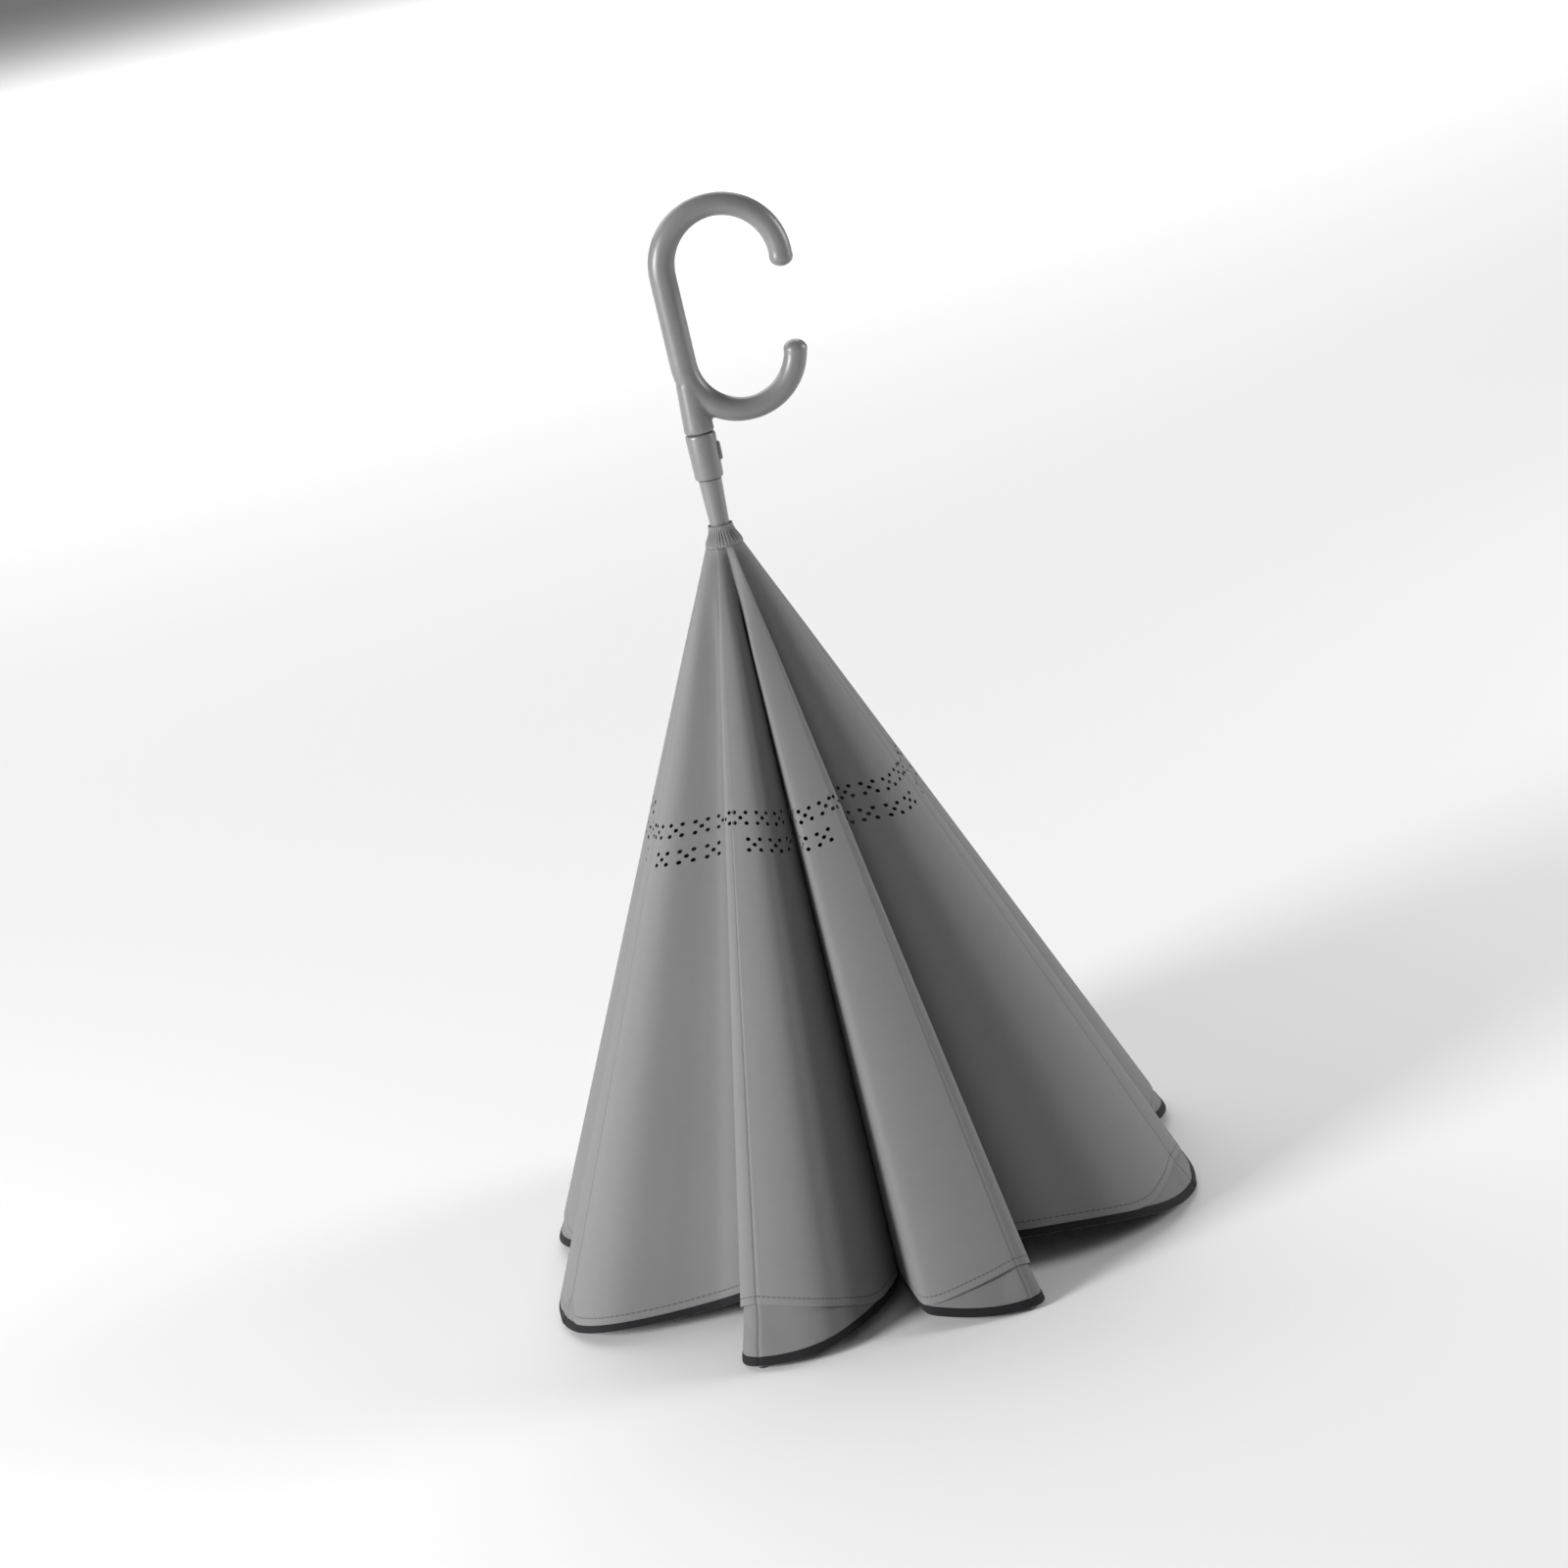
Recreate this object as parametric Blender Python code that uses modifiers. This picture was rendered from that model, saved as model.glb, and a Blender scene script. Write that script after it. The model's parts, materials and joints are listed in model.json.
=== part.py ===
"""Inverted umbrella with a C-shaped handle, closed and standing on its rib tips.

The shaft runs along Z through the origin with the handle at the top. The tip
plane is Z = 0. The runner slides down the shaft to open the umbrella: the ribs
hinge on the runner, and a stretcher ties each rib to the notch at the lower end
of the shaft. Lengths are in metres, angles in degrees.
"""

from math import asin, atan, atan2, cos, pi, radians, sin, sqrt, tan

import bmesh
import bpy
from mathutils import Matrix, Vector

# Driving dimensions of the frame
rib_count = 8
rib_length = 0.550
closed_rib_angle = 24.6
open_rib_angle = 105.0
hinge_circle_radius = 0.0095
stretcher_pivot_reach = 0.250
stretcher_pivot_offset = 0.0042
stretcher_extra = 0.015
shaft_radius = 0.005
running_gap = 0.00035
cut_overrun = 0.002
sharp_angle = 35.0

# Canopy cloth
cloth_thickness = 0.0008
cloth_top_reach = 0.0055
pleat_top_reach = 0.014
cloth_end_gap = 0.0015
cloth_rib_gap = 0.0003
panel_slope = 23.0
wide_panel_slope = 25.0
front_panel_slope = 34.0
hem_rise_share = 0.089
hem_curve = 1.6
pleat_top_gap = 0.0007
panel_edge_gap = 0.0006
crease_gap = 0.0008
pleat_tip_gap = 0.0012
narrowest_strip = 0.0012
panel_bulge_share = 0.09
panel_columns = 5
pleat_columns = 4
cloth_rows = 6
solver_steps = 40
edge_shift_limit = 0.1

# Inner layer of cloth, gathered between the notch and the stretcher pivots
inner_start_share = 0.06
inner_end_share = 0.50
inner_lift = 0.0042
inner_valley_low_radius = 0.0082
inner_valley_high_radius = 0.024
inner_rows = 5
flute_sharpness = 2
inner_points_a_gore = 4

# Ribs and stretchers
rib_width = 0.0026
rib_height = 0.0038
rib_eye_radius = 0.0021
tip_cap_length = 0.015
tip_cap_radius = 0.0032
tip_foot_depth = 0.0005
saddle_length = 0.009
saddle_wall = 0.0009
saddle_rim = 0.0016
pin_radius = 0.0008
stretcher_width = 0.0020
stretcher_height = 0.0032
stretcher_eye_radius = 0.0018

# Runner
runner_top = 0.0468
runner_top_radius = 0.0079
neck_low = 0.0125
neck_low_radius = 0.0066
hub_radius = 0.0113
hub_top = 0.0035
hub_bottom = -0.0045
hub_shoulder = 0.0095
slot_clearance = 0.0004
wire_radius = 0.0007
collar_top = 0.0150
collar_bottom = 0.0040
collar_top_radius = 0.0080
collar_bottom_radius = 0.0124
collar_wall = 0.0009

# Notch and ferrule at the lower end of the shaft
notch_height = 0.0075
notch_radius = 0.0118
ferrule_length = 0.019
ferrule_radius = 0.0078
ferrule_end_radius = 0.0062
ferrule_round = 0.0015
ferrule_spigot = 0.006
shaft_wall = 0.0008

# Button housing
seam_gap = 0.0004
housing_height = 0.0312
housing_radius = 0.0103
housing_round = 0.0012
button_height = 0.0125
button_width = 0.0070
button_stand = 0.0019
button_depth = 0.0031
button_travel = 0.0014
button_round = 0.0012
button_place_share = 0.56

# Handle
handle_back_radius = 0.0092
handle_arm_radius = 0.0079
handle_end_radius = 0.0083
upper_arc_x = 0.038
upper_arc_height = 0.1865
upper_arc_radius = 0.040
upper_end_angle = -5.0
lower_arc_x = 0.037
lower_arc_height = 0.126
lower_arc_radius = 0.038
lower_end_angle = -8.0
socket_radius = 0.0104
socket_rim_round = 0.0010
socket_height = 0.034
socket_top_radius = 0.0086
socket_bore_depth = 0.024
socket_crown_share = 0.6
blunt_end_share = 0.12
arc_steps = 18
end_steps = 4

# How each gore folds when closed, going round from the rib towards +X and +Y:
# even folds have the pleat in the middle, and on either side of the front the
# pleat lies close to one rib. Shares are of the gore's closed width, rib to rib,
# first from the gore's first rib, then back from its second. Slopes in degrees
# say how far the two panels lean in.
even_fold_shares = (0.41, 0.39)
even_slopes = (panel_slope, panel_slope)
left_fold_shares = (0.84, 0.10)
left_slopes = (wide_panel_slope, panel_slope)
front_fold_shares = (0.57, 0.38)
front_slopes = (front_panel_slope, panel_slope)
right_fold_shares = (0.08, 0.84)
right_slopes = (panel_slope, wide_panel_slope)
gore_folds = [(even_fold_shares, even_slopes)] * rib_count
gore_folds[4] = (left_fold_shares, left_slopes)
gore_folds[5] = (front_fold_shares, front_slopes)
gore_folds[6] = (right_fold_shares, right_slopes)

# Kinematics of the fold, worked out from the frame's dimensions
closed = radians(closed_rib_angle)
opened = radians(open_rib_angle)
half_gore = pi / rib_count
stretcher_length = stretcher_pivot_reach + stretcher_extra


def hinge_spacing(angle):
    """Height of the rib hinges over the notch when the ribs stand at an angle."""
    inward = stretcher_pivot_offset
    across = stretcher_pivot_reach * sin(angle) - inward * cos(angle)
    down = stretcher_pivot_reach * cos(angle) + inward * sin(angle)
    return down + sqrt(stretcher_length**2 - across**2)


def stretcher_lean(angle):
    """Angle of a stretcher to the shaft when the ribs stand at an angle."""
    inward = stretcher_pivot_offset
    across = stretcher_pivot_reach * sin(angle) - inward * cos(angle)
    down = stretcher_pivot_reach * cos(angle) + inward * sin(angle)
    return atan2(across, hinge_spacing(angle) - down)


cap_centre_reach = rib_length - tip_cap_radius
hinge_height = cap_centre_reach * cos(closed) + tip_cap_radius - tip_foot_depth
notch_drop = hinge_spacing(closed)
runner_travel = notch_drop - hinge_spacing(opened)
notch_z = hinge_height - notch_drop
rib_swing = opened - closed
stretcher_closed = stretcher_lean(closed)
stretcher_opened = stretcher_lean(opened)
stretcher_swing = (stretcher_opened + opened) - (stretcher_closed + closed)
slot_width = rib_width + 2 * slot_clearance
shaft_bore = shaft_radius + running_gap

# The cloth's ridge line lies just outside each rib, clear of its edges
cloth_half = cloth_thickness / 2
steepest_slope = radians(max(panel_slope, wide_panel_slope, front_panel_slope))
slope_opened = atan(tan(half_gore) * cos(opened))
ridge_offset = (
    rib_height / 2
    + cloth_rib_gap
    + rib_width / 2 * tan(steepest_slope)
    + cloth_half / cos(steepest_slope)
)
cloth_tip_reach = rib_length - tip_cap_length - cloth_end_gap
cloth_apex_reach = -(hinge_circle_radius + ridge_offset * cos(opened)) / sin(opened)

# Angles at the apex of one gore of cloth: laid flat, and between its closed ribs
half_gore_flat = atan(tan(half_gore) * cos(slope_opened) * sin(opened))
gore_closed = 2 * asin(sin(half_gore) * sin(closed))


def closed_width(reach):
    """Width of a whole closed gore, ridge to ridge, at a distance along the ridge."""
    radius = hinge_circle_radius + ridge_offset * cos(closed) + reach * sin(closed)
    return 2 * radius * sin(half_gore)


def hem_distance(angle):
    """Distance of the hem from the gore's apex, at an angle from the ridge."""
    across = min(angle, 2 * half_gore_flat - angle) / half_gore_flat
    rise = hem_rise_share * max(0.0, across) ** hem_curve
    return (cloth_tip_reach - cloth_apex_reach) * (1 - rise)


def hem_reach(width_at):
    """Distance along the ridge at which a line of cloth meets the hem."""
    reach = cloth_tip_reach
    for _ in range(solver_steps):
        angle = atan2(width_at(reach), reach - cloth_apex_reach)
        reach = cloth_apex_reach + hem_distance(angle) * cos(angle)
    return reach


def reach_for_strip(width_at, first_reach):
    """Distance along the ridge at which a strip of cloth is wide enough to start."""
    growth = width_at(1.0) - width_at(0.0)
    return max(first_reach, (narrowest_strip - width_at(0.0)) / growth)


class HalfGore:
    """One side of a rib's cloth: a panel from the ridge to the crease, then a pleat.

    The panel hinges on the ridge, and the pleat hinges on the crease and folds in
    until its free edge meets the pleat of the rib on the other side of the gore.
    """

    def __init__(self, share, other_share, slope, edge_shift):
        self.share = share
        self.slope = radians(slope)
        uneven = share - other_share
        self.turn = half_gore + atan(uneven * tan(half_gore))
        self.edge_angle = half_gore_flat + uneven * gore_closed / 2 + edge_shift
        self.crease_start = self.crease_width(0.0)
        self.crease_slant = atan(self.crease_width(1.0) - self.crease_start)
        self.panel_top = reach_for_strip(self.panel_width, cloth_top_reach)
        clear_of_rib = max(pleat_top_reach, self.reach_clear_of_rib())
        self.pleat_top = reach_for_strip(self.pleat_width, clear_of_rib)
        self.fold = self.solve_fold()
        self.panel_swing = self.slope - slope_opened

    def crease_width(self, reach):
        """Distance from the ridge to the crease."""
        return self.share * closed_width(reach)

    def edge_width(self, reach):
        """Distance from the ridge to the pleat's free edge, along the cloth."""
        return tan(self.edge_angle) * (reach - cloth_apex_reach)

    def panel_width(self, reach):
        """Width of the panel, from beside the ridge to beside the crease."""
        return self.crease_width(reach) - crease_gap - panel_edge_gap

    def pleat_width(self, reach):
        """Width of the pleat, from beside the crease to its free edge."""
        return self.edge_width(reach) - pleat_tip_gap / 2 - self.crease_width(reach) - crease_gap

    def reach_clear_of_rib(self):
        """Distance along the ridge at which the pleat passes beside the rib."""
        needed = rib_width / 2 + cloth_thickness + pleat_top_gap
        growth = self.crease_width(1.0) - self.crease_start
        return (needed / cos(self.slope) - self.crease_start) / growth

    def pleat_point(self, reach, width):
        """Place on the pleat: along its crease, and from the crease to its edge."""
        out = width - self.crease_start
        along = reach * cos(self.crease_slant) + out * sin(self.crease_slant)
        across = out * cos(self.crease_slant) - reach * sin(self.crease_slant)
        return along, across

    def edge_end(self, fold):
        """Lower end of the pleat's free edge, with the pleat folded in."""
        reach = hem_reach(self.edge_width)
        along, across = self.pleat_point(reach, self.edge_width(reach))
        hinge = Matrix.Translation((hinge_circle_radius, 0, hinge_height)) @ rib_turn()
        frames = hinge @ ridge_frame(self, 1) @ crease_frame(self, 1, fold)
        return frames @ Vector((along, across, 0))

    def meeting_gap(self, fold):
        """Gap between the pleat's edge and the plane where the gore's pleats meet."""
        edge = self.edge_end(fold)
        return edge.x * sin(self.turn) - edge.y * cos(self.turn)

    def edge_radius(self):
        """Distance from the shaft of the lower end of the pleat's edge."""
        return self.edge_end(self.fold).xy.length

    def solve_fold(self):
        """Fold angle at which the pleat's edge almost meets the other pleat."""
        low, high = 0.0, pi
        for _ in range(solver_steps):
            middle = (low + high) / 2
            if self.meeting_gap(middle) < pleat_tip_gap:
                low = middle
            else:
                high = middle
        return (low + high) / 2


def solve_gore(shares, slopes):
    """Both halves of a gore, its middle line shifted until their edges meet."""
    low, high = -edge_shift_limit, edge_shift_limit
    for _ in range(solver_steps):
        shift = (low + high) / 2
        first = HalfGore(shares[0], shares[1], slopes[0], shift)
        second = HalfGore(shares[1], shares[0], slopes[1], -shift)
        if first.edge_radius() > second.edge_radius():
            low = shift
        else:
            high = shift
    return first, second


def half_gores():
    """The left and right half gore of each rib, from the folds of its two gores."""
    solved = {fold: solve_gore(*fold) for fold in sorted(set(gore_folds))}
    halves = []
    for index in range(rib_count):
        left = solved[gore_folds[index]][0]
        right = solved[gore_folds[index - 1]][1]
        halves.append({"left": left, "right": right})
    return halves


def clear_scene():
    for obj in list(bpy.data.objects):
        bpy.data.objects.remove(obj, do_unlink=True)


def make_material(name, colour, roughness, metallic):
    material = bpy.data.materials.new(name)
    material.use_nodes = True
    shader = material.node_tree.nodes["Principled BSDF"]
    shader.inputs["Base Color"].default_value = (*colour, 1.0)
    shader.inputs["Roughness"].default_value = roughness
    shader.inputs["Metallic"].default_value = metallic
    return material


def make_collection(name):
    collection = bpy.data.collections.new(name)
    bpy.context.scene.collection.children.link(collection)
    return collection


def place(obj, collection, material=None, parent=None, matrix=None):
    """Put an object in a collection, with its material and its place on a parent."""
    for user in list(obj.users_collection):
        user.objects.unlink(obj)
    collection.objects.link(obj)
    if material:
        obj.data.materials.clear()
        obj.data.materials.append(material)
    if parent:
        obj.parent = parent
    if matrix is not None:
        obj.matrix_local = matrix
    return obj


def add_empty(name, matrix, parent=None):
    empty = bpy.data.objects.new(name, None)
    parts.objects.link(empty)
    empty.empty_display_size = hub_radius
    if parent:
        empty.parent = parent
    empty.matrix_local = matrix
    return empty


def box(name, low, high):
    """Box between two corners, as a cube primitive with its size applied."""
    bpy.ops.mesh.primitive_cube_add(size=1)
    obj = bpy.context.active_object
    obj.name = name
    centre = (Vector(low) + Vector(high)) / 2
    size = Vector(high) - Vector(low)
    obj.data.transform(Matrix.Translation(centre) @ Matrix.Diagonal((*size, 1)))
    return obj


def rod(name, radius, low, high, centre, axis="Y", segments=12):
    """Cylinder along an axis between two places on it."""
    bpy.ops.mesh.primitive_cylinder_add(radius=radius, depth=high - low, vertices=segments)
    obj = bpy.context.active_object
    obj.name = name
    turn = {
        "X": Matrix.Rotation(pi / 2, 4, "Y"),
        "Y": Matrix.Rotation(pi / 2, 4, "X"),
        "Z": Matrix.Identity(4),
    }[axis]
    middle = Vector(centre)
    middle["XYZ".index(axis)] += (low + high) / 2
    obj.data.transform(Matrix.Translation(middle) @ turn)
    return obj


def turned(name, profile, segments=32):
    """Solid turned about Z from a profile that runs down its outer side."""
    mesh = bpy.data.meshes.new(name)
    closed_loop = profile[0][0] > 0
    count = len(profile)
    edges = [(i, i + 1) for i in range(count - 1)]
    if closed_loop:
        edges.append((count - 1, 0))
    mesh.from_pydata([(radius, 0, z) for radius, z in profile], edges, [])
    obj = bpy.data.objects.new(name, mesh)
    bpy.context.scene.collection.objects.link(obj)
    screw = obj.modifiers.new("Turn", "SCREW")
    screw.angle = 2 * pi
    screw.steps = segments
    screw.render_steps = segments
    screw.use_merge_vertices = True
    screw.merge_threshold = running_gap / 10
    screw.use_smooth_shade = True
    return obj


def round_steps(centre, radius, start, end, count):
    """Points of an arc, angles in radians, with both its ends."""
    points = []
    for i in range(count + 1):
        angle = start + (end - start) * i / count
        points.append((centre[0] + radius * cos(angle), centre[1] + radius * sin(angle)))
    return points


def boolean(obj, other, operation):
    """Join or cut with another object, which becomes a hidden helper."""
    modifier = obj.modifiers.new(operation.title(), "BOOLEAN")
    modifier.operation = operation
    modifier.solver = "EXACT"
    modifier.object = other
    place(other, helpers)
    other.hide_render = True
    other.display_type = "WIRE"


def baked_mesh(obj, name):
    """Mesh of an object with its modifiers worked out, and the object removed."""
    bpy.context.view_layer.update()
    graph = bpy.context.evaluated_depsgraph_get()
    mesh = bpy.data.meshes.new_from_object(obj.evaluated_get(graph))
    mesh.name = name
    bpy.data.objects.remove(obj, do_unlink=True)
    clean = bmesh.new()
    clean.from_mesh(mesh)
    bmesh.ops.remove_doubles(clean, verts=clean.verts, dist=running_gap / 50)
    clean.to_mesh(mesh)
    clean.free()
    mesh.shade_smooth()
    mesh.set_sharp_from_angle(angle=radians(sharp_angle))
    return mesh


def add_part(name, mesh, material, parent=None, matrix=None):
    obj = bpy.data.objects.new(name, mesh)
    bpy.context.scene.collection.objects.link(obj)
    return place(obj, parts, material, parent, matrix)


def finish_solid(obj, name, material, parent=None, matrix=None):
    """Bake a piece's modifiers and add it to the umbrella."""
    return add_part(name, baked_mesh(obj, name), material, parent, matrix)


def handle_centreline():
    """Points and radii of the C, from the upper free end to the lower one."""
    start = radians(upper_end_angle)
    end = 2 * pi + radians(lower_end_angle)
    upper = (upper_arc_x, upper_arc_height)
    lower = (lower_arc_x, lower_arc_height)
    points = round_steps(upper, upper_arc_radius, start, pi, arc_steps)
    points += round_steps(lower, lower_arc_radius, pi, end, arc_steps)
    back_x = upper_arc_x - upper_arc_radius
    radii = []
    for x, z in points:
        back = max(0.0, 1 - abs(x - back_x) / upper_arc_radius)
        radii.append(handle_arm_radius + (handle_back_radius - handle_arm_radius) * back)
    radii[0] = handle_end_radius
    radii[-1] = handle_end_radius
    return points, radii


def rounded_end(point, inner_point, radius):
    """Points and radii of a half-round end, going out from a line's last point."""
    way = (Vector(point) - Vector(inner_point)).normalized()
    places = []
    for i in range(1, end_steps + 1):
        angle = pi / 2 * i / end_steps
        reach = radius * sin(angle)
        width = radius * max(cos(angle), blunt_end_share)
        spot = Vector(point) + way * reach
        places.append(((spot.x, spot.y), width))
    return places


def build_handle(material):
    points, radii = handle_centreline()
    line = list(zip(points, radii))
    first = rounded_end(points[0], points[1], radii[0])
    last = rounded_end(points[-1], points[-2], radii[-1])
    line = list(reversed(first)) + line + last
    curve = bpy.data.curves.new("handle", "CURVE")
    curve.dimensions = "3D"
    curve.bevel_depth = 1.0
    curve.bevel_resolution = 4
    curve.use_fill_caps = True
    spline = curve.splines.new("POLY")
    spline.points.add(len(line) - 1)
    for spot, ((x, z), radius) in zip(spline.points, line):
        spot.co = (x, 0, hinge_height + z, 1)
        spot.radius = radius
    tube = bpy.data.objects.new("handle_tube", curve)
    bpy.context.scene.collection.objects.link(tube)
    tube_mesh = baked_mesh(tube, "handle_tube")
    grip = bpy.data.objects.new("handle_grip", tube_mesh)
    bpy.context.scene.collection.objects.link(grip)

    low = hinge_height + runner_top + 2 * seam_gap + housing_height
    high = low + socket_height
    rim = socket_rim_round
    profile = [(0, high), (socket_top_radius * socket_crown_share, high)]
    profile += [(socket_top_radius, high - rim), (socket_radius, low + rim)]
    profile += [(socket_radius - rim, low), (0, low)]
    boolean(grip, turned("handle_socket", profile), "UNION")
    bore = rod("handle_bore", shaft_bore, low - cut_overrun, low + socket_bore_depth,
               (0, 0, 0), "Z", 32)
    boolean(grip, bore, "DIFFERENCE")
    return finish_solid(grip, "handle", material)


def build_housing(material):
    """Collar under the handle, with a pocket for the button."""
    low = hinge_height + runner_top + seam_gap
    high = low + housing_height
    rim = housing_round
    profile = [(shaft_bore, high), (housing_radius - rim, high)]
    profile += [(housing_radius, high - rim), (housing_radius, low + rim)]
    profile += [(housing_radius - rim, low), (shaft_bore, low)]
    body = turned("button_housing", profile)
    pocket_floor = housing_radius - button_depth - button_travel - running_gap
    side = button_width / 2 + running_gap
    end = button_height / 2 + running_gap
    middle = low + housing_height * button_place_share
    pocket = box(
        "button_pocket",
        (pocket_floor, -side, middle - end),
        (housing_radius + cut_overrun, side, middle + end),
    )
    boolean(body, pocket, "DIFFERENCE")
    return finish_solid(body, "button_housing", material)


def build_button(material):
    """Push button in the housing, free to slide towards the shaft."""
    low = hinge_height + runner_top + seam_gap
    middle = low + housing_height * button_place_share
    seat = Matrix.Translation((housing_radius, 0, middle))
    pivot = add_empty("button_axis", seat)
    body = box(
        "release_button",
        (-button_depth, -button_width / 2, -button_height / 2),
        (button_stand, button_width / 2, button_height / 2),
    )
    bevel = body.modifiers.new("Round", "BEVEL")
    bevel.width = button_round
    bevel.segments = 3
    bevel.limit_method = "ANGLE"
    return finish_solid(body, "release_button", material, pivot, Matrix.Identity(4))


def build_shaft(material):
    top = hinge_height + runner_top + 2 * seam_gap + housing_height
    high = top + socket_bore_depth - running_gap
    low = notch_z - notch_height / 2 - ferrule_spigot / 2
    inner = shaft_radius - shaft_wall
    profile = [(inner, high), (shaft_radius, high), (shaft_radius, low), (inner, low)]
    return finish_solid(turned("shaft_tube", profile), "shaft_tube", material)


def build_ferrule(material):
    """End cap under the notch, with a spigot inside the shaft."""
    high = notch_z - notch_height / 2 - seam_gap
    low = high - ferrule_length
    step = high - ferrule_spigot
    spigot = shaft_radius - shaft_wall - running_gap
    rim = ferrule_round
    profile = [(0, high), (spigot, high), (spigot, step), (shaft_bore, step)]
    profile += [(shaft_bore, high), (ferrule_radius - rim, high)]
    profile += [(ferrule_radius, high - rim), (ferrule_end_radius, low + rim)]
    profile += [(ferrule_end_radius - rim, low), (0, low)]
    return finish_solid(turned("ferrule", profile), "ferrule", material)


def slot_cutter(name, index, low, high, floor, reach):
    """Radial slot for one rib or stretcher, turned to that rib's direction."""
    cutter = box(name, (floor, -slot_width / 2, low), (reach, slot_width / 2, high))
    cutter.data.transform(Matrix.Rotation(rib_azimuth(index), 4, "Z"))
    return cutter


def rib_azimuth(index):
    return half_gore + 2 * half_gore * index


def build_notch(material):
    """Slotted hub at the lower end of the shaft, which holds the stretcher ends."""
    high = notch_z + notch_height / 2
    low = notch_z - notch_height / 2
    profile = [(shaft_bore, high), (notch_radius, high), (notch_radius, low)]
    profile += [(shaft_bore, low)]
    body = turned("top_notch", profile, 48)
    floor = hinge_circle_radius - stretcher_eye_radius - slot_clearance
    for index in range(rib_count):
        cutter = slot_cutter(f"notch_slot_{index + 1}", index, low - cut_overrun,
                             high + cut_overrun, floor, notch_radius + cut_overrun)
        boolean(body, cutter, "DIFFERENCE")
    return finish_solid(body, "top_notch", material)


def build_runner(material, carrier):
    """Tapered sleeve with a slotted hub and the wire that the rib eyes turn on."""
    profile = [(shaft_bore, runner_top), (runner_top_radius - wire_radius, runner_top)]
    profile += [(runner_top_radius, runner_top - wire_radius)]
    profile += [(neck_low_radius, neck_low), (neck_low_radius, hub_shoulder)]
    profile += [(hub_radius - wire_radius, hub_top), (hub_radius, hub_top - wire_radius)]
    profile += [(hub_radius, hub_bottom), (shaft_bore, hub_bottom)]
    body = turned("runner_sleeve", profile, 48)
    floor = hinge_circle_radius - rib_eye_radius - slot_clearance
    for index in range(rib_count):
        cutter = slot_cutter(f"hub_slot_{index + 1}", index, hub_bottom - cut_overrun,
                             hub_shoulder, floor, hub_radius + cut_overrun)
        boolean(body, cutter, "DIFFERENCE")
    bpy.ops.mesh.primitive_torus_add(
        major_radius=hinge_circle_radius, minor_radius=wire_radius,
        major_segments=64, minor_segments=8,
    )
    wire = bpy.context.active_object
    wire.name = "hub_wire"
    boolean(body, wire, "UNION")
    return finish_solid(body, "runner_sleeve", material, carrier, Matrix.Identity(4))


def build_collar(material, carrier):
    """Gathered band of cloth round the runner, above the hub."""
    wall = collar_wall
    profile = [(collar_top_radius - wall, collar_top), (collar_top_radius, collar_top)]
    profile += [(collar_bottom_radius, collar_bottom)]
    profile += [(collar_bottom_radius - wall, collar_bottom)]
    body = turned("fabric_collar", profile)
    return finish_solid(body, "fabric_collar", material, carrier, Matrix.Identity(4))


def rib_mesh():
    """One rib in its own frame: X to the tip, Z away from the shaft, hinge at zero."""
    half = rib_width / 2
    cap_start = rib_length - tip_cap_length
    body = box(
        "rib", (0, -half, -rib_height / 2), (cap_start + tip_cap_length / 2, half, rib_height / 2)
    )
    eye = rod("rib_eye", rib_eye_radius, -half, half, (0, 0, 0), "Y", 16)
    boolean(body, eye, "UNION")

    ear = stretcher_width / 2 + slot_clearance
    side = ear + saddle_wall
    pivot = (stretcher_pivot_reach, 0, -stretcher_pivot_offset)
    floor = -stretcher_pivot_offset - saddle_rim
    start = stretcher_pivot_reach - saddle_length / 2
    end = stretcher_pivot_reach + saddle_length / 2
    boolean(body, box("rib_saddle", (start, -side, floor), (end, side, 0)), "UNION")
    groove = box(
        "rib_groove",
        (start - cut_overrun, -ear, floor - cut_overrun),
        (end + cut_overrun, ear, -rib_height / 2),
    )
    boolean(body, groove, "DIFFERENCE")
    boolean(body, rod("rib_pin", pin_radius, -side, side, pivot, "Y", 12), "UNION")

    cap = turned("rib_cap", cap_profile(), 16)
    bpy.context.view_layer.update()
    graph = bpy.context.evaluated_depsgraph_get()
    cap_mesh = bpy.data.meshes.new_from_object(cap.evaluated_get(graph))
    bpy.data.objects.remove(cap, do_unlink=True)
    cap_mesh.transform(Matrix.Rotation(-pi / 2, 4, "Y") @ Matrix.Rotation(pi, 4, "Y"))
    cap = bpy.data.objects.new("rib_cap", cap_mesh)
    bpy.context.scene.collection.objects.link(cap)
    boolean(body, cap, "UNION")

    hole = rod("rib_hole", wire_radius + running_gap, -side, side, (0, 0, 0), "Y", 12)
    boolean(body, hole, "DIFFERENCE")
    ground = box(
        "rib_ground",
        (-tip_cap_length, -tip_cap_length, -hinge_height - tip_cap_length),
        (tip_cap_length, tip_cap_length, -hinge_height),
    )
    shift = Matrix.Translation((cap_centre_reach * sin(closed), 0, 0))
    ground.data.transform(rib_turn().inverted() @ shift)
    boolean(body, ground, "DIFFERENCE")
    return baked_mesh(body, "rib")


def cap_profile():
    """Outline of the tip cap, tip at the top, turned about the rib's own line."""
    end = cap_centre_reach
    profile = [(0, end + tip_cap_radius)]
    for radius, reach in round_steps((0, end), tip_cap_radius, pi / 2, 0, 5)[1:]:
        profile.append((radius, reach))
    start = rib_length - tip_cap_length
    profile.append((tip_cap_radius, start + tip_foot_depth))
    profile.append((tip_cap_radius - tip_foot_depth, start))
    profile.append((0, start))
    return profile


def rib_turn():
    """Turn from a rib's own frame to the umbrella's, for a rib towards +X."""
    along = Vector((sin(closed), 0, -cos(closed)))
    out = Vector((cos(closed), 0, sin(closed)))
    side = out.cross(along)
    turn = Matrix((along, side, out)).transposed()
    return turn.to_4x4()


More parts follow.
